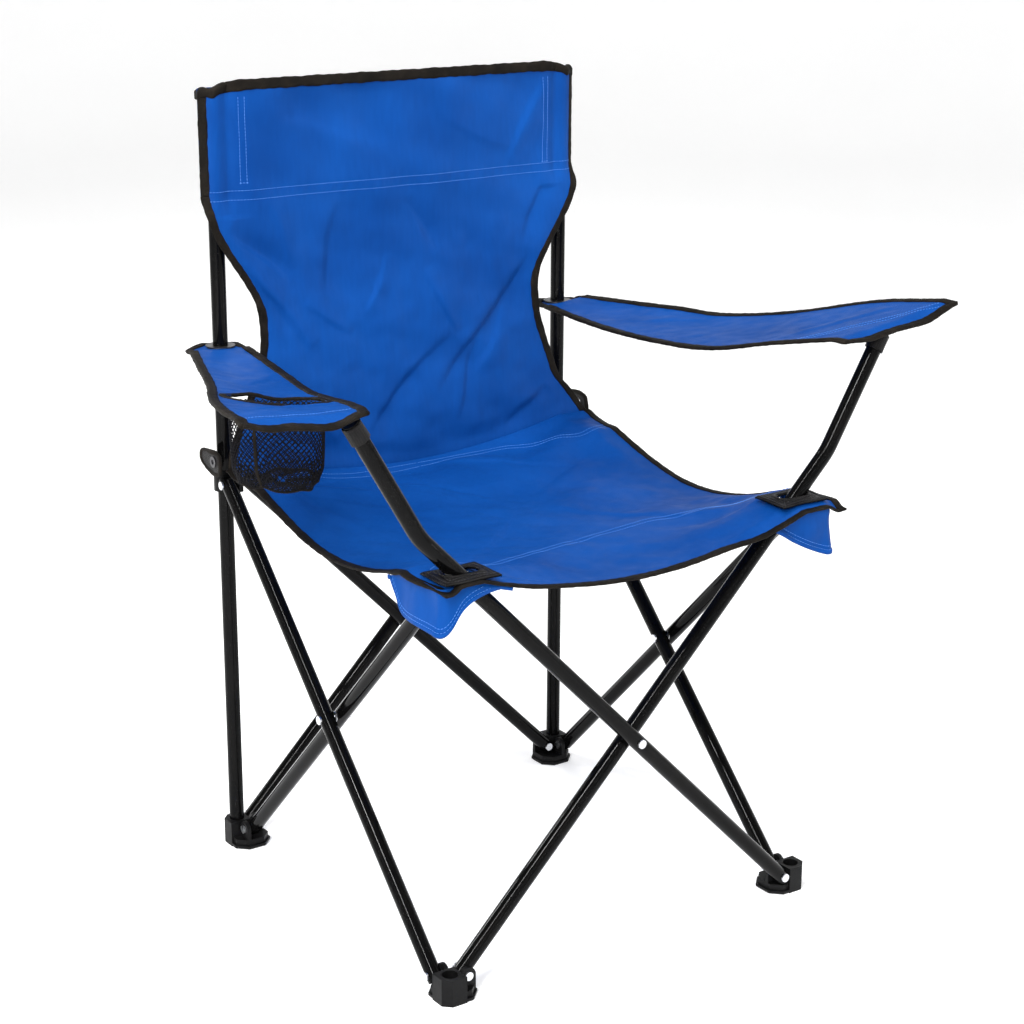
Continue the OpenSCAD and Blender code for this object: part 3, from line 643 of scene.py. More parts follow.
def seat_place(grid, x, y):
    """Points on the seat's grid at plan positions x, y."""
    x, y = np.asarray(x, float), np.asarray(y, float)
    y0 = y.copy()
    for _ in range(4):
        r = (y0 - SEAT_FRONT) / (SEAM_Y - SEAT_FRONT)
        y0 = y - SEAT_SKEW * x / SEAT_FRONT_X * (1 - r)
    u = x / seat_edge(y0, x)
    return sample(grid, r * (grid.shape[0] - 1), (u + 1) / 2 * (grid.shape[1] - 1))


def arm_slot(side):
    """Distance from the slot in the seat that the side's arm tube swings in."""
    def distance(x, y):
        dx = np.maximum(np.abs(np.abs(x) - SLOT_X) - SLOT_HALF, 0)
        return np.hypot(dx, y - SLOT_Y[side]) - SLOT_R + 9.0 * (x * SIGN[side] < 0)
    return distance


# the two lines of stitches across the seat, and how far the second of each pair lies from the first
SEAT_LINES = (
    (-0.0075, [
        (-0.226, -0.196), (-0.150, -0.160), (-0.075, -0.134), (0, -0.115), (0.060, -0.106), (0.110, -0.105),
        (0.165, -0.124), (0.226, -0.170),
    ]),
    (-0.0068, [
        (-0.219, 0.178), (-0.109, 0.174), (-0.030, 0.179), (0.058, 0.1755), (0.105, 0.168), (0.150, 0.150),
        (0.194, 0.128), (0.216, 0.132), (0.229, 0.140),
    ]),
)


def build_seat():
    """Two halves of one cloth that meet along the middle, each on its own body."""
    points, normals = SEAT_GRID, grid_normals(SEAT_GRID, (0, 0, 1))
    rows, cols = points.shape[:2]
    whole_keep = np.ones((rows - 1, cols - 1), bool)
    for side in SIGN:
        points, keep = hole_in(points, arm_slot(side))
        whole_keep &= keep
    lines = []
    for second, shape in SEAT_LINES:
        x = np.linspace(shape[0][0], shape[-1][0], 90)
        shape = through(shape, 300)
        for offset in (0.0, second):
            lines.append((x, np.interp(x, shape[:, 0], shape[:, 1]) + offset))
    middle = cols // 2
    for side, part, outer in (("left", slice(0, middle + 1), "col0"), ("right", slice(middle, cols), "col1")):
        body = side + "_seat"
        p, n = points[:, part], normals[:, part]
        keep = whole_keep[:, part.start:part.stop - 1]
        piece = cloth(body + "_cloth", p, n, p[..., :2], BLUE, keep)
        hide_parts(body)
        trims = [
            tape(f"{body}_tape_{edge}", *edge_of(p, n, edge), 21 + SIGN[side], height=0.0014)
            for edge in ("row0", outer)
        ]
        threads = []
        for x, y in lines:
            mine = x * SIGN[side] >= 0
            threads.append((seat_place(points, x[mine], y[mine]), seat_place(normals, x[mine], y[mine])))
        thread = stitches(body + "_stitches", threads, THREAD)
        attach(body, [piece, thread], SEAT_FOLD)
        attach(body, trims, SEAT_FOLD)
        sheet_area(p, keep)


# ---------------------------------------------------------------- backrest and its sleeves

# distance outward from the post's axis, and how far the cloth there lies behind the panel's plane
SLEEVE_SHAPE = through(
    [(-0.045, 0), (-0.032, 0.0004), (-0.021, 0.0026), (-0.0125, 0.0058), (-0.007, 0.0046), (-0.002, 0.0033),
     (0.003, 0.0036), (0.008, 0.0062), (0.012, 0.0092), (0.016, 0.0118)], 200)

# height and distance from the middle of the backrest's right edge, from its seam up to its waist
RIGHT_EDGE = through(
    [(0.436, BACK_LOW_X + SEAT_FLARE), (0.463, 0.219), (0.486, 0.200), (0.510, 0.191), (0.530, 0.184),
     (0.555, 0.1765), (0.575, 0.1745), (0.590, BACK_WAIST_X)], 120)


def back_half(z, u):
    """Half width of the backrest at height z, on the side that u's sign says."""
    waist = np.where(u < 0, BACK_WAIST_X + 0.006, BACK_WAIST_X)
    left = (BACK_LOW_X - waist) * smooth((0.575 - z) / 0.145)
    right = np.interp(z, RIGHT_EDGE[:, 0], RIGHT_EDGE[:, 1]) - BACK_WAIST_X
    low = np.where(u < 0, left, right)
    return waist + (SLEEVE_OUT - waist) * smooth((z - 0.590) / 0.120) + low


def back_y(z):
    return SEAT_REAR + 0.0048 + 0.016 * smooth((z - 0.430) / 0.320)


BACK_CREASES = (
    ((-0.209, 0.690), (-0.140, 0.628), 0.010, -0.0022),
    ((-0.195, 0.655), (-0.120, 0.555), 0.009, 0.0020),
    ((-0.076, 0.705), (-0.102, 0.610), 0.013, -0.0014),
    ((-0.165, 0.716), (-0.135, 0.640), 0.008, 0.0012),
    ((0.003, 0.701), (0.045, 0.645), 0.008, -0.0012),
    ((-0.018, 0.645), (-0.050, 0.580), 0.008, 0.0012),
    ((0.022, 0.622), (0.066, 0.552), 0.006, 0.0012),
    ((0.168, 0.630), (0.040, 0.482), 0.014, -0.0024),
    ((0.134, 0.573), (0.092, 0.500), 0.010, 0.0012),
    ((0.182, 0.476), (0.122, 0.428), 0.010, -0.0016),
    ((0.056, 0.550), (-0.056, 0.450), 0.013, -0.0018),
    ((0.093, 0.538), (0.060, 0.450), 0.010, -0.0014),
    ((-0.128, 0.602), (-0.068, 0.566), 0.006, 0.0009),
    ((-0.165, 0.520), (-0.090, 0.450), 0.010, 0.0014),
    ((0.200, 0.830), (0.140, 0.730), 0.012, 0.0016),
    ((-0.221, 0.830), (-0.196, 0.760), 0.009, 0.0012),
    ((-0.150, 0.800), (-0.020, 0.770), 0.014, -0.0010),
    ((0.040, 0.790), (0.160, 0.745), 0.014, 0.0010),
    ((0.190, 0.712), (0.160, 0.640), 0.009, -0.0014),
)


def back_folds(x, z):
    """Wrinkles of the backrest, in metres, towards the sitter."""
    d = 0.0020 * ripples(x, z, 0.170, 31) + 0.0011 * ripples(x, z, 0.060, 32, heading=0.5, spread=1.8)
    d = d + 0.00022 * ripples(x, z, 0.020, 33) * smooth((0.70 - z) / 0.05)
    d = creased(d, x, z, BACK_CREASES, 2.0)
    pucker = 0.00035 * np.sin(x * 2 * math.pi / 0.011 + 2 * np.sin(x * 40)) * bell((z - SLEEVE_LOW) / 0.009)
    return d + pucker


def top_line(x):
    """Height of the backrest's top edge: it dips a little where the sleeves begin."""
    a = np.abs(x)
    ends = 0.0030 * bell((a - 0.2215) / 0.0055) + 0.0045 * smooth((a - 0.185) / 0.040)
    return BACK_TOP + 0.0085 - ends - 0.0045 * smooth((a - SLEEVE_OUT + 0.0060) / 0.0065)


def back_points(u, v, upper):
    """v runs from 0 to 1 below the sleeves' lower end, or above it if upper."""
    low = seam_z(u * BACK_LOW_X)
    z = low + (SLEEVE_LOW - low) * v
    x = back_half(z, u) * u
    if upper:
        x = SLEEVE_OUT * u
        z = SLEEVE_LOW + (top_line(x) - SLEEVE_LOW) * v
    sleeve = np.interp(np.abs(x) - CORNER, SLEEVE_SHAPE[:, 0], SLEEVE_SHAPE[:, 1]) * smooth((z - 0.697) / 0.026)
    y = back_y(z) + sleeve - 0.0024 * bell((z - low) / 0.010)
    side = smooth((1 - np.abs(u)) / 0.10)
    calm = side * smooth((z - low) / 0.03) * smooth((top_line(x) - z) / 0.02)
    calm = calm * smooth((0.203 - np.abs(x)) / 0.03 + 1 * (z < 0.70))
    y = y - back_folds(x, z) * calm
    return np.stack([x, y, z], -1)


SLEEVE_STITCH_INSETS = (0.0120, 0.0186)


def build_backrest():
    """The panel down to the seat's seam. Its cloth beside the panel, above the waist, makes the sleeves."""
    split = PANEL_X / SLEEVE_OUT
    over_sleeve = np.linspace(split, 1, SLEEVE_COLS)
    u = np.concatenate([-over_sleeve[::-1], np.linspace(-split, split, 139)[1:-1], over_sleeve])
    lower = back_points(*np.meshgrid(u, np.linspace(0, 1, 112)), False)
    upper = back_points(*np.meshgrid(u, np.linspace(0, 1, 40)[1:]), True)
    points = np.vstack([lower, upper])
    normals = grid_normals(points, (0, -1, 0))
    n, m = points.shape[:2]
    above = len(lower) - 1
    keep = np.ones((n - 1, m - 1), bool)
    keep[above:, :SLEEVE_COLS - 1] = False
    keep[above:, m - SLEEVE_COLS:] = False

    def place(x, z):
        """Fractional rows and columns of the grid at x, z."""
        x, z = np.asarray(x, float), np.asarray(z, float)
        uu = x / np.where(z > SLEEVE_LOW, SLEEVE_OUT, back_half(z, x))
        low = seam_z(uu * BACK_LOW_X)
        down = (z - low) / (SLEEVE_LOW - low) * above
        up = above + (z - SLEEVE_LOW) / (top_line(x) - SLEEVE_LOW) * (n - 1 - above)
        return np.where(z > SLEEVE_LOW, up, down), np.interp(uu, u, np.arange(m))

    def line(x, z):
        rows, cols = place(x, z)
        return sample(points, rows, cols), sample(normals, rows, cols)

    panel = cloth("backrest_cloth", points, normals, points[..., [0, 2]], BLUE, keep)
    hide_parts("backrest")
    inner, low = slice(SLEEVE_COLS - 1, 1 - SLEEVE_COLS), slice(above + 1)
    trims = []
    for ending, edge, along, seed, height, width in (
        ("top", "row1", inner, 41, 0.0015, 0.0098),
        ("col0", "col0", low, 42, 0.0013, TAPE_W),
        ("col1", "col1", low, 43, 0.0013, TAPE_W),
    ):
        path, up, out = (a[along] for a in edge_of(points, normals, edge))
        trims.append(tape("backrest_tape_" + ending, path, up, out, seed, height, width))
    # one line under the sleeves' lower end and one above it, then two up each side, joined at the foot
    x, mid = np.linspace(-0.2255, 0.2255, 160), np.linspace(-PANEL_X + 0.0005, PANEL_X - 0.0005, 150)
    threads = [line(x, np.full(160, SLEEVE_LOW - 0.0052)), line(mid, np.full(150, SLEEVE_LOW + 0.0042))]
    for sign, foot in ((-1, SLEEVE_LOW + 0.012), (1, SLEEVE_LOW + 0.006)):
        for inset in SLEEVE_STITCH_INSETS:
            threads.append(line(np.full(60, sign * (PANEL_X - inset)), np.linspace(foot, BACK_TOP - 0.009, 60)))
        threads.append(line(sign * (PANEL_X - np.linspace(*SLEEVE_STITCH_INSETS, 5)), np.full(5, foot)))
    thread = stitches("backrest_stitches", threads, THREAD)
    attach("left_post_frame", [panel, thread], BACK_FOLD)
    attach("left_post_frame", trims, BACK_FOLD)
    # each sleeve's columns, from the panel outward
    build_sleeve("left", points[above:, SLEEVE_COLS - 1::-1], normals[above:, SLEEVE_COLS - 1::-1], line)
    build_sleeve("right", points[above:, m - SLEEVE_COLS:], normals[above:, m - SLEEVE_COLS:], line)


def build_sleeve(side, front, front_n, line):
    """Front of a sleeve is the backrest's own cloth; its back goes round behind the post."""
    sign = SIGN[side]
    name = side + "_sleeve"
    rear_shape = through(
        [(0.016, 0.0006), (0.0125, 0.0040), (0.0085, 0.0078), (0.002, 0.0098), (-0.005, 0.0088), (-0.0098, 0.0045),
         (-0.0116, -0.001), (-0.0122, -0.0052)], 22)
    z = front[:, SLEEVE_COLS // 2, 2]
    rows = len(z)
    rear_x, rear_y = sign * (CORNER + rear_shape[:, 0]), CORNER + rear_shape[:, 1]
    rear = np.stack(np.broadcast_arrays(rear_x, rear_y, z[:, None]), -1)
    # the two layers come together under the top binding
    pinch = smooth((z - (BACK_TOP - 0.012)) / 0.011)[:, None]
    rear[..., 1] -= pinch * (rear[..., 1] - (CORNER + 0.0012)) * 0.5
    rear_n = grid_normals(rear, (0, 1, 0))
    s = lengths(np.vstack([front[rows // 2], rear[rows // 2]]))
    uv_front = paired(sign * s[:SLEEVE_COLS] + sign * PANEL_X, z[:, None])
    cover = cloth(name + "_cloth", front, front_n, uv_front, BLUE)
    lining = cloth(name + "_back", rear, rear_n, paired(sign * s[SLEEVE_COLS:], z[:, None]), BLUE)
    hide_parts(name)
    path = front[:, -1] + (-sign * 0.0006, 0.0004, 0)
    up, out = repeated((sign * 0.54, -0.84, 0), rows), repeated((sign * 0.84, 0.54, 0), rows)
    upright = tape(name + "_tape", path, up, out, 51 + sign, height=0.0019, width=0.0085)
    # the top binding is folded over both layers
    path = front[-1] + (0, 0.0028, -0.0004)
    up, out = repeated((0, -1, 0), SLEEVE_COLS), repeated((0, 0, 1), SLEEVE_COLS)
    cap = tape(name + "_tape_top", path, up, out, 55 + sign, height=0.0048, width=0.0090)
    x = sign * np.linspace(PANEL_X + 0.001, SLEEVE_OUT - 0.008, 12)
    thread = stitches(name + "_stitches", [line(x, np.full(12, SLEEVE_LOW + 0.0042))], THREAD)
    attach(side + "_post_frame", [cover, lining, thread])
    attach(side + "_post_frame", [upright, cap])


# ---------------------------------------------------------------- armrests

# rear to front, in metres: y, then x and z of the inner edge and of the outer edge
ARM_ROWS = {
    "right": [
        (ARM_REAR_Y, 0.190, 0.564, 0.246, 0.570), (0.090, 0.184, 0.561, 0.286, 0.571),
        (0.000, 0.186, 0.562, 0.318, 0.574), (-0.080, 0.197, 0.567, 0.368, 0.591),
        (-0.150, 0.226, 0.582, 0.402, 0.607), (-0.218, 0.262, 0.594, 0.4125, 0.6155),
    ],
    "left": [
        (ARM_REAR_Y, 0.194, 0.564, 0.258, 0.567), (0.090, 0.212, 0.560, 0.303, 0.574),
        (0.000, 0.234, 0.563, 0.341, 0.583), (-0.080, 0.256, 0.575, 0.380, 0.594),
        (-0.160, 0.284, 0.591, 0.414, 0.605), (-0.234, 0.311, 0.604, 0.430, 0.611),
    ],
}
ARM_CREASES = (
    ((0.250, -0.130), (0.390, -0.165), 0.009, 0.0016),
    ((0.235, -0.095), (0.360, -0.150), 0.008, -0.0012),
    ((0.215, 0.100), (0.290, 0.030), 0.010, 0.0012),
)
ARM_FRONT_TAPE_W = {"left": 0.0146, "right": 0.0088}
ARM_CURL = {"left": 0.0085, "right": 0.0070}

# ends of the lines of stitches, by share of the armrest's length from the rear and of its width from the inner edge
ARM_STITCHES = {
    "left": [((0.925, 0.08), (0.945, 0.92))],
    "right": [((0.83, 0.10), (0.96, 0.94)), ((0.85, 0.08), (0.98, 0.92))],
}


def cup_distance(x, y):
    """Distance outside the cup's hole, as seen from above."""
    dx, dy = x - CUP_CENTRE[0], y - CUP_CENTRE[1]
    return np.hypot(dx / math.cos(CUP_TILT), dy / math.cos(CUP_PITCH)) - CUP_R


def arm_grid(side):
    """Points of an armrest, from its rear to its front and from its inner edge to its outer one."""
    sign = SIGN[side]
    y, inner_x, inner_z, outer_x, outer_z = through(ARM_ROWS[side], 137).T[:, :, None]
    v = np.linspace(0, 1, 47)[None, :]
    x = inner_x + (outer_x - inner_x) * v
    z = inner_z + (outer_z - inner_z) * v
    y = np.broadcast_to(y, x.shape)
    front = y[-1, 0]
    inner = smooth(v / 0.18) * smooth((1 - v) / 0.18) * smooth((ARM_REAR_Y - y) / 0.03) * smooth((y - front) / 0.02)
    # the front end curls down over the arm tube's end
    depth = ARM_CURL[side] * (0.4 + 0.6 * smooth(np.minimum(v, 1 - v) / 0.28))
    curl = depth * smooth((front + 0.0150 - y) / 0.0150) * (1 + 0.20 * np.sin(v * 9 + sign))
    hollow = 0.0026 * (1 - (2 * v - 1) ** 2) * smooth((ARM_REAR_Y - y) / 0.05)
    waves = 0.0007 * ripples(x, y, 0.070, 61 + sign) + 0.00022 * ripples(x, y, 0.024, 63 + sign)
    waves = creased(waves, x, y, ARM_CREASES)
    outer_wave = 0.00072 * np.sin(y * 60 + 2 * sign) * smooth((v - 0.6) / 0.4) * smooth((0.15 - y) / 0.1)
    return np.stack([sign * x, y, z - 0.0012 - hollow + waves * inner + outer_wave - curl], -1)


def build_armrest(side):
    body = side + "_armrest"
    points = arm_grid(side)
    normals = grid_normals(points, (0, 0, 1))
    keep = None
    if side == "left":
        points, keep = hole_in(points, cup_distance)
    piece = cloth(body + "_cloth", points, normals, points[..., :2], BLUE, keep)
    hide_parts(body)
    trims = []
    for edge, seed, width in (("col0", 71, 0.0092), ("col1", 72, 0.0092), ("row1", 73, ARM_FRONT_TAPE_W[side])):
        path, up, out = edge_of(points, normals, edge)
        path = path + unit(out) * 0.0022
        trims.append(tape(f"{body}_tape_{edge}", path, up, out, seed + SIGN[side], height=0.0019, width=width))
    threads = []
    last = np.array(points.shape[:2]) - 1
    for start, end in ARM_STITCHES[side]:
        i, j = (np.linspace(start, end, 40) * last).T
        threads.append((sample(points, i, j), sample(normals, i, j)))
    thread = stitches(body + "_stitches", threads, THREAD)
    attach(body, [piece, thread], ARM_FOLD)
    attach(body, trims, ARM_FOLD)
    extra = build_cup(points) if side == "left" else []
    sheet_area(points, keep)
    build_heel(side)
    build_arm_pocket(side)


def build_heel(side):
    """The armrest's end behind the post, round its eyelet."""
    sign = SIGN[side]
    inner, inner_z, outer, outer_z = ARM_ROWS[side][0][1:]
    corners = np.array([
        (inner, ARM_REAR_Y), (outer, ARM_REAR_Y), (outer - 0.004, 0.223), (0.2295, 0.2395), (0.2045, 0.2395),
        (inner, 0.223),
    ]) - CORNER
    count = 120
    turns = np.linspace(0, 2 * math.pi, count + 1)
    ray = paired(np.cos(turns), np.sin(turns))
    reach = np.full(count + 1, 1e9)
    for a, b in zip(corners, np.roll(corners, -1, axis=0)):
        # where a ray from the post meets this side of the outline
        d = b - a
        cross = ray[:, 0] * d[1] - ray[:, 1] * d[0]
        with np.errstate(divide="ignore", invalid="ignore"):
            t = (a[0] * d[1] - a[1] * d[0]) / cross
            s = (a[0] * ray[:, 1] - a[1] * ray[:, 0]) / cross
        hit = (np.abs(cross) > 1e-12) & (t > 0) & (s >= -1e-9) & (s <= 1 + 1e-9)
        reach = np.where(hit & (t < reach), t, reach)
    rings = np.linspace(0, 1, 9)[:, None]
    r = HEEL_HOLE_R + (reach - HEEL_HOLE_R) * rings
    x = CORNER + r * np.cos(turns)
    y = CORNER + r * np.sin(turns)
    rise = smooth((0.2165 - y) / 0.016) * smooth((x - inner) / (outer - inner)) * (outer_z - inner_z)
    z = ARM_Z - 0.0022 + rise + 0.0008 * np.sin(3 * turns + sign) * rings
    points = np.stack([sign * x, y, z], -1)
    normals = grid_normals(points, (0, 0, 1))
    name = side + "_arm_heel"
    piece = cloth(name + "_cloth", points, normals, points[..., :2], BLUE)
    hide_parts(name)
    # the binding goes round the outline behind the armrest, in one run
    behind = np.argwhere(points[-1, :, 1] > ARM_REAR_Y + 0.0007)[:, 0]
    order = np.concatenate([behind[behind >= count * 3 // 4], behind[behind < count * 3 // 4]])
    path = points[-1, order]
    out = unit((path - (sign * CORNER, CORNER, ARM_Z)) * (1, 1, 0))
    trim = tape(name + "_tape", path, normals[-1, order], out, 81 + sign, height=0.0016)
    attach(side + "_heel", [piece])
    attach(side + "_heel", [trim])


def build_arm_pocket(side):
    """The gathered cloth pocket under the armrest's front end that the arm tube pushes into."""
    name = side + "_arm_pocket"
    tip, base = (np.array(sum(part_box(node), Vector()) / 2) for node in (side + "_arm_cap", name))
    axis = unit(tip - base)
    cross_a = unit(np.cross(axis, (0, 1, 0)))
    cross_b = np.cross(axis, cross_a)
    turn = np.linspace(0, 2 * math.pi, 49)[None, :]
    t = np.linspace(0, 1, 22)[:, None]
    length = 0.018
    r = TUBE_R + 0.0008 + 0.0004 * (1 - t) ** 2 + 0.0003 * np.cos(9 * turn + 2 * t)
    centre = base + axis * length * t[..., None]
    points = centre + r[..., None] * (cross_a * np.cos(turn)[..., None] + cross_b * np.sin(turn)[..., None])
    piece = cloth(name + "_cloth", points, unit(points - centre), paired(turn * TUBE_R, t * length), WEBBING)
    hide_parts(name)
    attach("front_outer" if side == "left" else "front_inner", [piece])


# ---------------------------------------------------------------- cup holder

def strands(name, paths, radius, material):
    """Thin threads with four sides, joined in one mesh."""
    vertices, faces, uv = [], [], []
    for path in paths:
        forward = unit(np.gradient(path, axis=0))
        a = unit(np.cross(forward, (0.13, 0.21, 0.97)))
        b = np.cross(forward, a)
        start = len(vertices)
        s = lengths(path)
        for p, q, w, d in zip(path, a, b, s):
            for corner in range(4):
                turn = math.pi / 2 * corner
                vertices.append(p + radius * (q * math.cos(turn) + w * math.sin(turn)))
                uv.append((d, corner * radius))
        faces.extend(tube_faces(start, len(path), 4))
    return make_mesh(name, vertices, faces, material, uv)


def bag_point(turn, q):
    """A point on the net bag: q is 0 at the rim, 1 at the floor's edge and 1.5 at the floor's middle."""
    slope = math.tan(CUP_TILT) * np.cos(turn) + math.tan(CUP_PITCH) * np.sin(turn)
    top = CUP_CENTRE[2] - 0.003 - 0.044 * slope
    floor = CUP_LOW_Z - 0.0015 + 0.0022 * (1 + np.sin(2 * turn + 0.6)) + 0.0012 * np.sin(7 * turn)
    down = np.minimum(q, 1)
    z = top + (floor - top) * down
    slack = 1 + 0.035 * np.sin(3 * turn + 0.7) * down + 0.020 * np.sin(5 * turn + 2.0 + 2 * down) * down
    radius = (0.0442 - 0.0028 * down - 0.0052 * bell((1 - down) / 0.13)) * slack
    radius = radius + 0.0010 * np.sin(11 * turn + 14 * down) * smooth((down - 0.65) / 0.3)
    inward = np.clip((q - 1) / 0.5, 0, 1)
    radius = radius * (1 - 0.97 * inward)
    x, y = CUP_CENTRE[0] + radius * np.cos(turn), CUP_CENTRE[1] + radius * np.sin(turn)
    return np.stack([x, y, z + 0.0016 * np.sin(inward * math.pi)], -1)


def build_cup(arm_points):
    """Net bag, its bound rim in the armrest's hole, its floor's seam and its upright seam."""
    count = 46
    q = np.linspace(0, 1.42, 46)
    paths = []
    for k in range(count):
        for way in (-1, 1):
            turn = 2 * math.pi * k / count
            paths.append(bag_point(turn + way * q * 1.75, q))
            # the bag is gathered towards its floor, where the net lies double
            low = np.linspace(0.80, 1.06, 14)
            paths.append(bag_point(turn + math.pi / count + way * low * 1.2, low) + (0, 0, -0.0008))
    net = strands("cup_net", paths, 0.00050, NET)
    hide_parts("cup_bag")
    around = np.linspace(0, 2 * math.pi, 145)
    c, s = np.cos(around)[:, None], np.sin(around)[:, None]
    upward = repeated((0, 0, 1), 145)
    radial = np.hstack([c, s, 0 * c])
    seam_path = bag_point(around, np.ones(145))
    floor_seam = tape("cup_floor_seam", seam_path, upward, radial, 92, height=0.0011, width=0.0026)
    seam_turn = math.radians(213)
    out = repeated((math.cos(seam_turn), math.sin(seam_turn), 0), 30)
    aside = repeated((-math.sin(seam_turn), math.cos(seam_turn), 0), 30)
    seam_path = bag_point(np.full(30, seam_turn), np.linspace(0, 1, 30)) + aside * 0.0012
    up_seam = tape("cup_side_seam", seam_path, out, aside, 93, height=0.0008, width=0.0030)
    # the rim is a tape folded over the hole's edge, on the armrest's cloth
    rim_normal = unit(np.array([math.sin(CUP_TILT), math.sin(CUP_PITCH), 1.0]))
    rim_across = unit(np.cross((0, 1, 0), rim_normal))
    rim = CUP_CENTRE + CUP_R * (rim_across * c + np.cross(rim_normal, rim_across) * s)
    flat_points = arm_points.reshape(-1, 3)
    for i, p in enumerate(rim):
        near = np.argsort(np.square(flat_points[:, :2] - p[:2]).sum(1))[:6]
        rim[i, 2] = flat_points[near, 2].mean()
    rim[:, 2] += 0.0006 * np.sin(around * 5) + 0.0004 * np.sin(around * 9 + 1)
    up, inward = repeated(rim_normal, 145), CUP_CENTRE - rim
    hole_rim = tape("cup_rim_tape", rim, up, unit(inward), 91, height=0.0017, width=0.0052)
    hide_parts("cup_rim")
    attach("left_armrest", [net], ARM_FOLD)
    attach("left_armrest", [floor_seam, up_seam, hole_rim], ARM_FOLD)
    return [net, floor_seam, up_seam, hole_rim]


# ---------------------------------------------------------------- seat's corners

RING_R, RING_THICK = 0.0104, 0.0019
PATCH_STITCH_INSETS = (0.0045, 0.0095)
FLAP_ROOT, FLAP_TIP, FLAP_HALF_W = 0.1880, 0.1985, 0.0105


def slot_ring(name, side):
    """A raised ring round the slot that an arm tube swings in."""
    path, out = [], []
    for turn in np.linspace(0, 2 * math.pi, 64, endpoint=False):
        c, s = math.cos(turn), math.sin(turn)
        # the slot's ends lie apart, but the middle of each side is one point
        end = SLOT_HALF * np.sign(c) * (abs(c) > 1e-9)
        path.append((SIGN[side] * (SLOT_X + end + RING_R * c), SLOT_Y[side] + RING_R * s, SEAT_CORNER_Z + 0.0012))
        out.append((SIGN[side] * c, s, 0.0))
    turns = np.linspace(0, 2 * math.pi, 8, endpoint=False)
    profile = RING_THICK * paired(np.cos(turns), 0.8 * np.sin(turns))
    return swept(name, np.array(path), np.array(out), repeated((0, 0, 1), 64), profile, WEBBING, closed=True)


def build_patch(side):
    """Black webbing on the seat's corner, with two rows of stitches and the arm tube's slot."""
    name, body, sign = side + "_corner_patch", f"front_{side}_hub", SIGN[side]
    slot = arm_slot(side)
    low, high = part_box(name)
    x, y = np.meshgrid(np.linspace(low.x, high.x, 61), np.linspace(low.y, high.y, 45))
    inset = np.minimum(np.minimum(x - low.x, high.x - x), np.minimum(y - low.y, high.y - y))
    z = np.full_like(x, SEAT_CORNER_Z - 0.0002)
    for row in PATCH_STITCH_INSETS:
        z -= 0.0011 * bell((inset - row) / 0.0016)
    z += 0.0010 * bell((slot(x, y) - 0.002) / 0.003) + 0.00035 * ripples(x, y, 0.030, 101 + sign)
    z -= 0.0016 * smooth((0.0025 - inset) / 0.0025)
    points = np.stack([x, y, z], -1)
    normals = grid_normals(points, (0, 0, 1))
    points, keep = hole_in(points, slot)
    piece = cloth(name + "_webbing", points, normals, points[..., :2], WEBBING, keep, thickness=0.0022)
    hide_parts(name)
    threads = []
    for row in PATCH_STITCH_INSETS:
        left, right, front, rear = low.x + row, high.x - row, low.y + row, high.y - row
        corners = [(left, front), (right, front), (right, rear), (left, rear)]
        for (ax, ay), (bx, by) in zip(corners, corners[1:] + corners[:1]):
            t = np.linspace(0.02, 0.98, 24)
            px, py = ax + (bx - ax) * t, ay + (by - ay) * t
            if (slot(px, py) > 0.001).all():
                i, j = (py - low.y) / (high.y - low.y) * 44, (px - low.x) / (high.x - low.x) * 60
                threads.append((sample(points, i, j), sample(normals, i, j)))
    thread = stitches(name + "_stitches", threads, BLACK_THREAD, radius=0.00045, height=0.0012)
    ring = slot_ring(name + "_grommet", side)
    attach(body, [piece, thread, ring])
    # a flap under the slot's inner end, which the arm tube pushes together as the frame folds
    across, along = np.linspace(FLAP_ROOT, FLAP_TIP, 9), np.linspace(-FLAP_HALF_W, FLAP_HALF_W, 11)
    x, y = np.meshgrid(across, SLOT_Y[side] + along)
    under = np.stack([sign * x, y, SEAT_CORNER_Z - 0.0042 - 0.10 * (x - FLAP_ROOT)], -1)
    flap = cloth(name + "_flap", under, grid_normals(under, (0, 0, 1)), under[..., :2], WEBBING)
    attach(body, [flap], dict(joint="fold", axis=(1, 0, 0), anchor=(sign * FLAP_ROOT, 0, 0), keep=0.15))
    sheet_area(points, keep)


# lower edge of a corner's flap: the share of its way from the side's rear end to the corner (1) and on to the
# front's end (2), and its height
LOWER_EDGE = {
    "left": through(
        [(0, 0.421), (0.14, 0.403), (0.28, 0.387), (0.60, 0.385), (0.86, 0.3835), (1.0, 0.3832), (1.12, 0.392),
         (1.28, 0.408), (1.55, 0.4165), (2.0, 0.420)], 120),
    "right": through(
        [(0, 0.419), (0.16, 0.402), (0.34, 0.387), (0.60, 0.3835), (0.86, 0.378), (1.0, 0.3765), (1.15, 0.379),
         (1.40, 0.3865), (1.65, 0.396), (1.85, 0.405), (2.0, 0.412)], 120),
}
SKIRT_X, SKIRT_SIDE_END, SKIRT_FRONT_END = 0.2392, -0.150, 0.163   # its side, where that ends, and its front's end
SKIRT_FRONT_Y = {"left": -0.2405, "right": -0.2335}
SKIRT_TURN_R = 0.010
HEM_PROFILE = np.array([
    (0.0011, -0.0006), (0.0011, 0.0030), (0.0, 0.0036), (-0.0011, 0.0030), (-0.0011, -0.0006), (0.0, -0.0014),
])


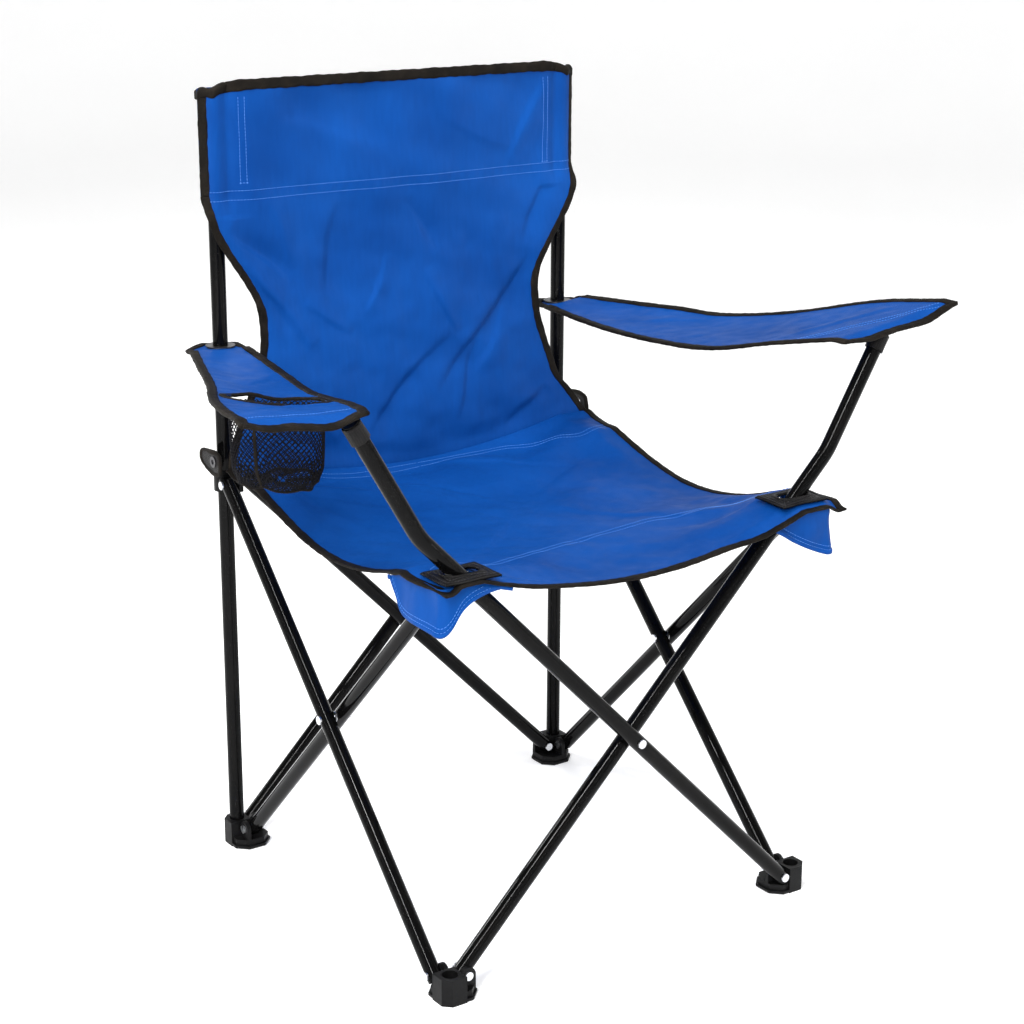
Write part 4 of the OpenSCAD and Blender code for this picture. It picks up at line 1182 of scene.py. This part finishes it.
def build_skirt(side):
    """Blue flap sewn round the seat's front corner, which hides the bracket under it."""
    name, sign, front_y = side + "_corner_pocket", SIGN[side], SKIRT_FRONT_Y[side]
    side_len = SKIRT_SIDE_END - (front_y + SKIRT_TURN_R)
    arc = SKIRT_TURN_R * math.pi / 2
    total = side_len + arc + SKIRT_X - SKIRT_TURN_R - SKIRT_FRONT_END
    s = np.linspace(0, total, 120)
    turn = np.clip((s - side_len) / SKIRT_TURN_R, 0, math.pi / 2)
    path = np.stack([
        SKIRT_X - SKIRT_TURN_R * (1 - np.cos(turn)) - np.maximum(s - side_len - arc, 0),
        SKIRT_SIDE_END - np.minimum(s, side_len) - SKIRT_TURN_R * np.sin(turn),
    ], -1)
    middle = side_len + arc / 2
    way = np.where(s < middle, s / middle, 1 + (s - middle) / (total - middle))
    shape = LOWER_EDGE[side]
    top = seat_place(SEAT_GRID, sign * path[:, 0], path[:, 1])[:, 2] - 0.0022
    bottom = np.minimum(np.interp(way, shape[:, 0], shape[:, 1]), top - 0.0025)
    rows = np.linspace(0, 1, 30)[:, None]
    z = top + (bottom - top) * rows
    direction = unit(np.gradient(path, axis=0))
    outward = np.stack([-direction[:, 1], direction[:, 0]], -1)
    puff = 0.0022 * np.sin(rows * 3.0) * np.sin(s / total * math.pi * 3 + 0.6 + sign)
    puff = puff + 0.0012 * ripples(s + 0 * rows, z, 0.045, 111 + sign) * smooth(rows / 0.2)
    puff = puff + 0.0030 * rows * bell((s - middle) / 0.03)
    x, y = path[:, 0] + outward[:, 0] * puff, path[:, 1] + outward[:, 1] * puff
    points = np.stack([sign * x, y, z], -1)
    normals = grid_normals(points, (0, 0, 1))
    normals *= np.sign((normals[..., :2] * outward * (sign, 1)).sum(-1).mean())
    piece = cloth(name + "_cloth", points, normals, paired(s, z), BLUE)
    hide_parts(name)
    threads = []
    for up in (0.0035, 0.0075):
        tall = (top - bottom) > up + 0.004
        i, j = (1 - up / (top - bottom)) * 29, np.arange(120.0)
        threads.append((sample(points, i[tall], j[tall]), sample(normals, i[tall], j[tall])))
    thread = stitches(name + "_stitches", threads, THREAD)
    hem = swept(name + "_hem", points[-1], normals[-1], repeated((0, 0, 1), 120), HEM_PROFILE, BLUE)
    attach(f"front_{side}_hub", [piece, thread, hem])


TAB_EYELET_R = 0.0046
TAB_OUTLINE = [
    (0.186, 0.434), (0.200, 0.431), (0.214, 0.434), (0.226, 0.440), (0.2305, 0.448), (0.225, 0.4555),
    (0.211, 0.4575), (0.197, 0.4580), (0.187, 0.4545), (0.1845, 0.444),
]


def build_tab(side):
    """Black webbing loop that ties the seat's rear corner to the slider, with its eyelet."""
    name, body, sign = side + "_corner_tab", side + "_slider", SIGN[side]
    low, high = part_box(name)
    centre = np.array([0.2005, 0.446])
    loop = through(TAB_OUTLINE + TAB_OUTLINE[:3], 87) - centre
    angles = np.mod(np.arctan2(loop[:, 1], loop[:, 0]), 2 * math.pi)
    order = np.argsort(angles)
    turns = np.linspace(0, 2 * math.pi, 61)
    reach = np.interp(turns, angles[order], np.linalg.norm(loop, axis=1)[order], period=2 * math.pi)
    rings = np.linspace(0, 1, 9)[:, None]
    r = TAB_EYELET_R + (reach - TAB_EYELET_R) * rings
    x = (low.x + high.x) / 2 + sign * 0.0006 * rings * np.sin(2 * turns)
    points = np.stack([x, centre[0] + r * np.cos(turns), centre[1] + r * np.sin(turns)], -1)
    normals = grid_normals(points, (sign, 0, 0))
    piece = cloth(name + "_webbing", points, normals, points[..., 1:], WEBBING, thickness=0.0018)
    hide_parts(name)
    out = unit(points[-1] - points[0])
    rim = tape(name + "_rim", points[-1], normals[-1], out, 121 + sign, height=0.0017, width=0.0042)
    attach(body, [piece, rim])


# ---------------------------------------------------------------- the whole chair

build_seat()
build_backrest()
for which in SIGN:
    build_armrest(which)
    build_patch(which)
    build_skirt(which)
    build_tab(which)

FINISHES = (
    (("_foot", "_slider", "_hub", "_cap"), PLASTIC), (("_tube", "_post"), PAINT),
    (("_rivets", "_rivet"), STEEL), (("_eyelet",), DARK_STEEL),
)
for node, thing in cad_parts.items():
    for endings, finish in FINISHES:
        if node.endswith(endings):
            for slot in thing.material_slots:
                slot.material = finish


# ---------------------------------------------------------------- camera, lights and floor

def make_camera(target, azimuth, elevation, distance, lens, roll):
    a, e = math.radians(azimuth), math.radians(elevation)
    back = Vector((math.sin(a) * math.cos(e), -math.cos(a) * math.cos(e), math.sin(e)))
    data = bpy.data.cameras.new("camera")
    data.lens = lens
    data.sensor_width = 36
    camera = bpy.data.objects.new("camera", data)
    camera.location = Vector(target) + back * distance
    camera.rotation_euler = back.to_track_quat("Z", "Y").to_euler()
    camera.rotation_euler.rotate_axis("Z", math.radians(roll))
    bpy.context.scene.collection.objects.link(camera)
    bpy.context.scene.camera = camera


def area_light(name, place, aim, size, power):
    data = bpy.data.lights.new(name, "AREA")
    data.shape = "RECTANGLE"
    data.size, data.size_y = size
    data.energy = power
    light = bpy.data.objects.new(name, data)
    light.location = place
    light.rotation_euler = (Vector(aim) - Vector(place)).to_track_quat("-Z", "Y").to_euler()
    bpy.context.scene.collection.objects.link(light)


def make_floor():
    """A pale sweep: a floor that curves up into a backdrop on every side."""
    rings, count = [(0.0, 0.0), (1.0, 0.0), (3.0, 0.0), (6.0, 0.0)], 64
    rings += [(6.0 + 2.0 * math.sin(t), 2.0 * (1 - math.cos(t))) for t in np.linspace(0, math.pi / 2, 9)[1:]]
    rings += [(8.0, 6.0)]
    vertices, faces = [(0.0, 0.0, 0.0)], []
    for radius, height in rings[1:]:
        for k in range(count):
            turn = 2 * math.pi * k / count
            vertices.append((radius * math.cos(turn), radius * math.sin(turn), height))
    for k in range(count):
        faces.append((0, 1 + k, 1 + (k + 1) % count))
    for i in range(len(rings) - 2):
        for k in range(count):
            a, b = 1 + i * count + k, 1 + i * count + (k + 1) % count
            faces.append((a, a + count, b + count, b))
    graph = Graph("floor")
    tone = graph.ramp(graph.noise(1.2, 2.0), (0.3, (0.86, 0.86, 0.86)), (0.7, (0.88, 0.88, 0.88)))
    pale = graph.finish(tone, 0.9, Specular_IOR_Level=0.1, Emission_Color=(1, 1, 1, 1), Emission_Strength=0.25)
    floor = make_mesh("floor", vertices, faces, pale)


make_camera((0.004, 0.0, 0.4004), -34.8, 16.8, 2.299, 77.45, 0.24)
make_floor()
world = bpy.data.worlds.new("world")
world.use_nodes = True
world.node_tree.nodes["Background"].inputs[0].default_value = (1, 1, 1, 1)
world.node_tree.nodes["Background"].inputs[1].default_value = 0.30
scene = bpy.context.scene
scene.world = world
scene.view_settings.view_transform = "Standard"
area_light("key", (-2.7, -1.9, 2.2), (0, 0, 0.5), (0.14, 2.4), 135)
area_light("streak", (-1.7, -1.05, 3.0), (-0.2, 0, 0.2), (0.08, 1.7), 66)
area_light("fill", (2.5, -2.1, 1.6), (0, 0, 0.5), (0.10, 2.4), 42)
area_light("top", (0.0, -0.4, 3.6), (0, 0, 0.4), (2.4, 0.30), 62)
area_light("rear", (-1.2, 2.8, 1.9), (0, 0, 0.5), (0.16, 2.2), 60)
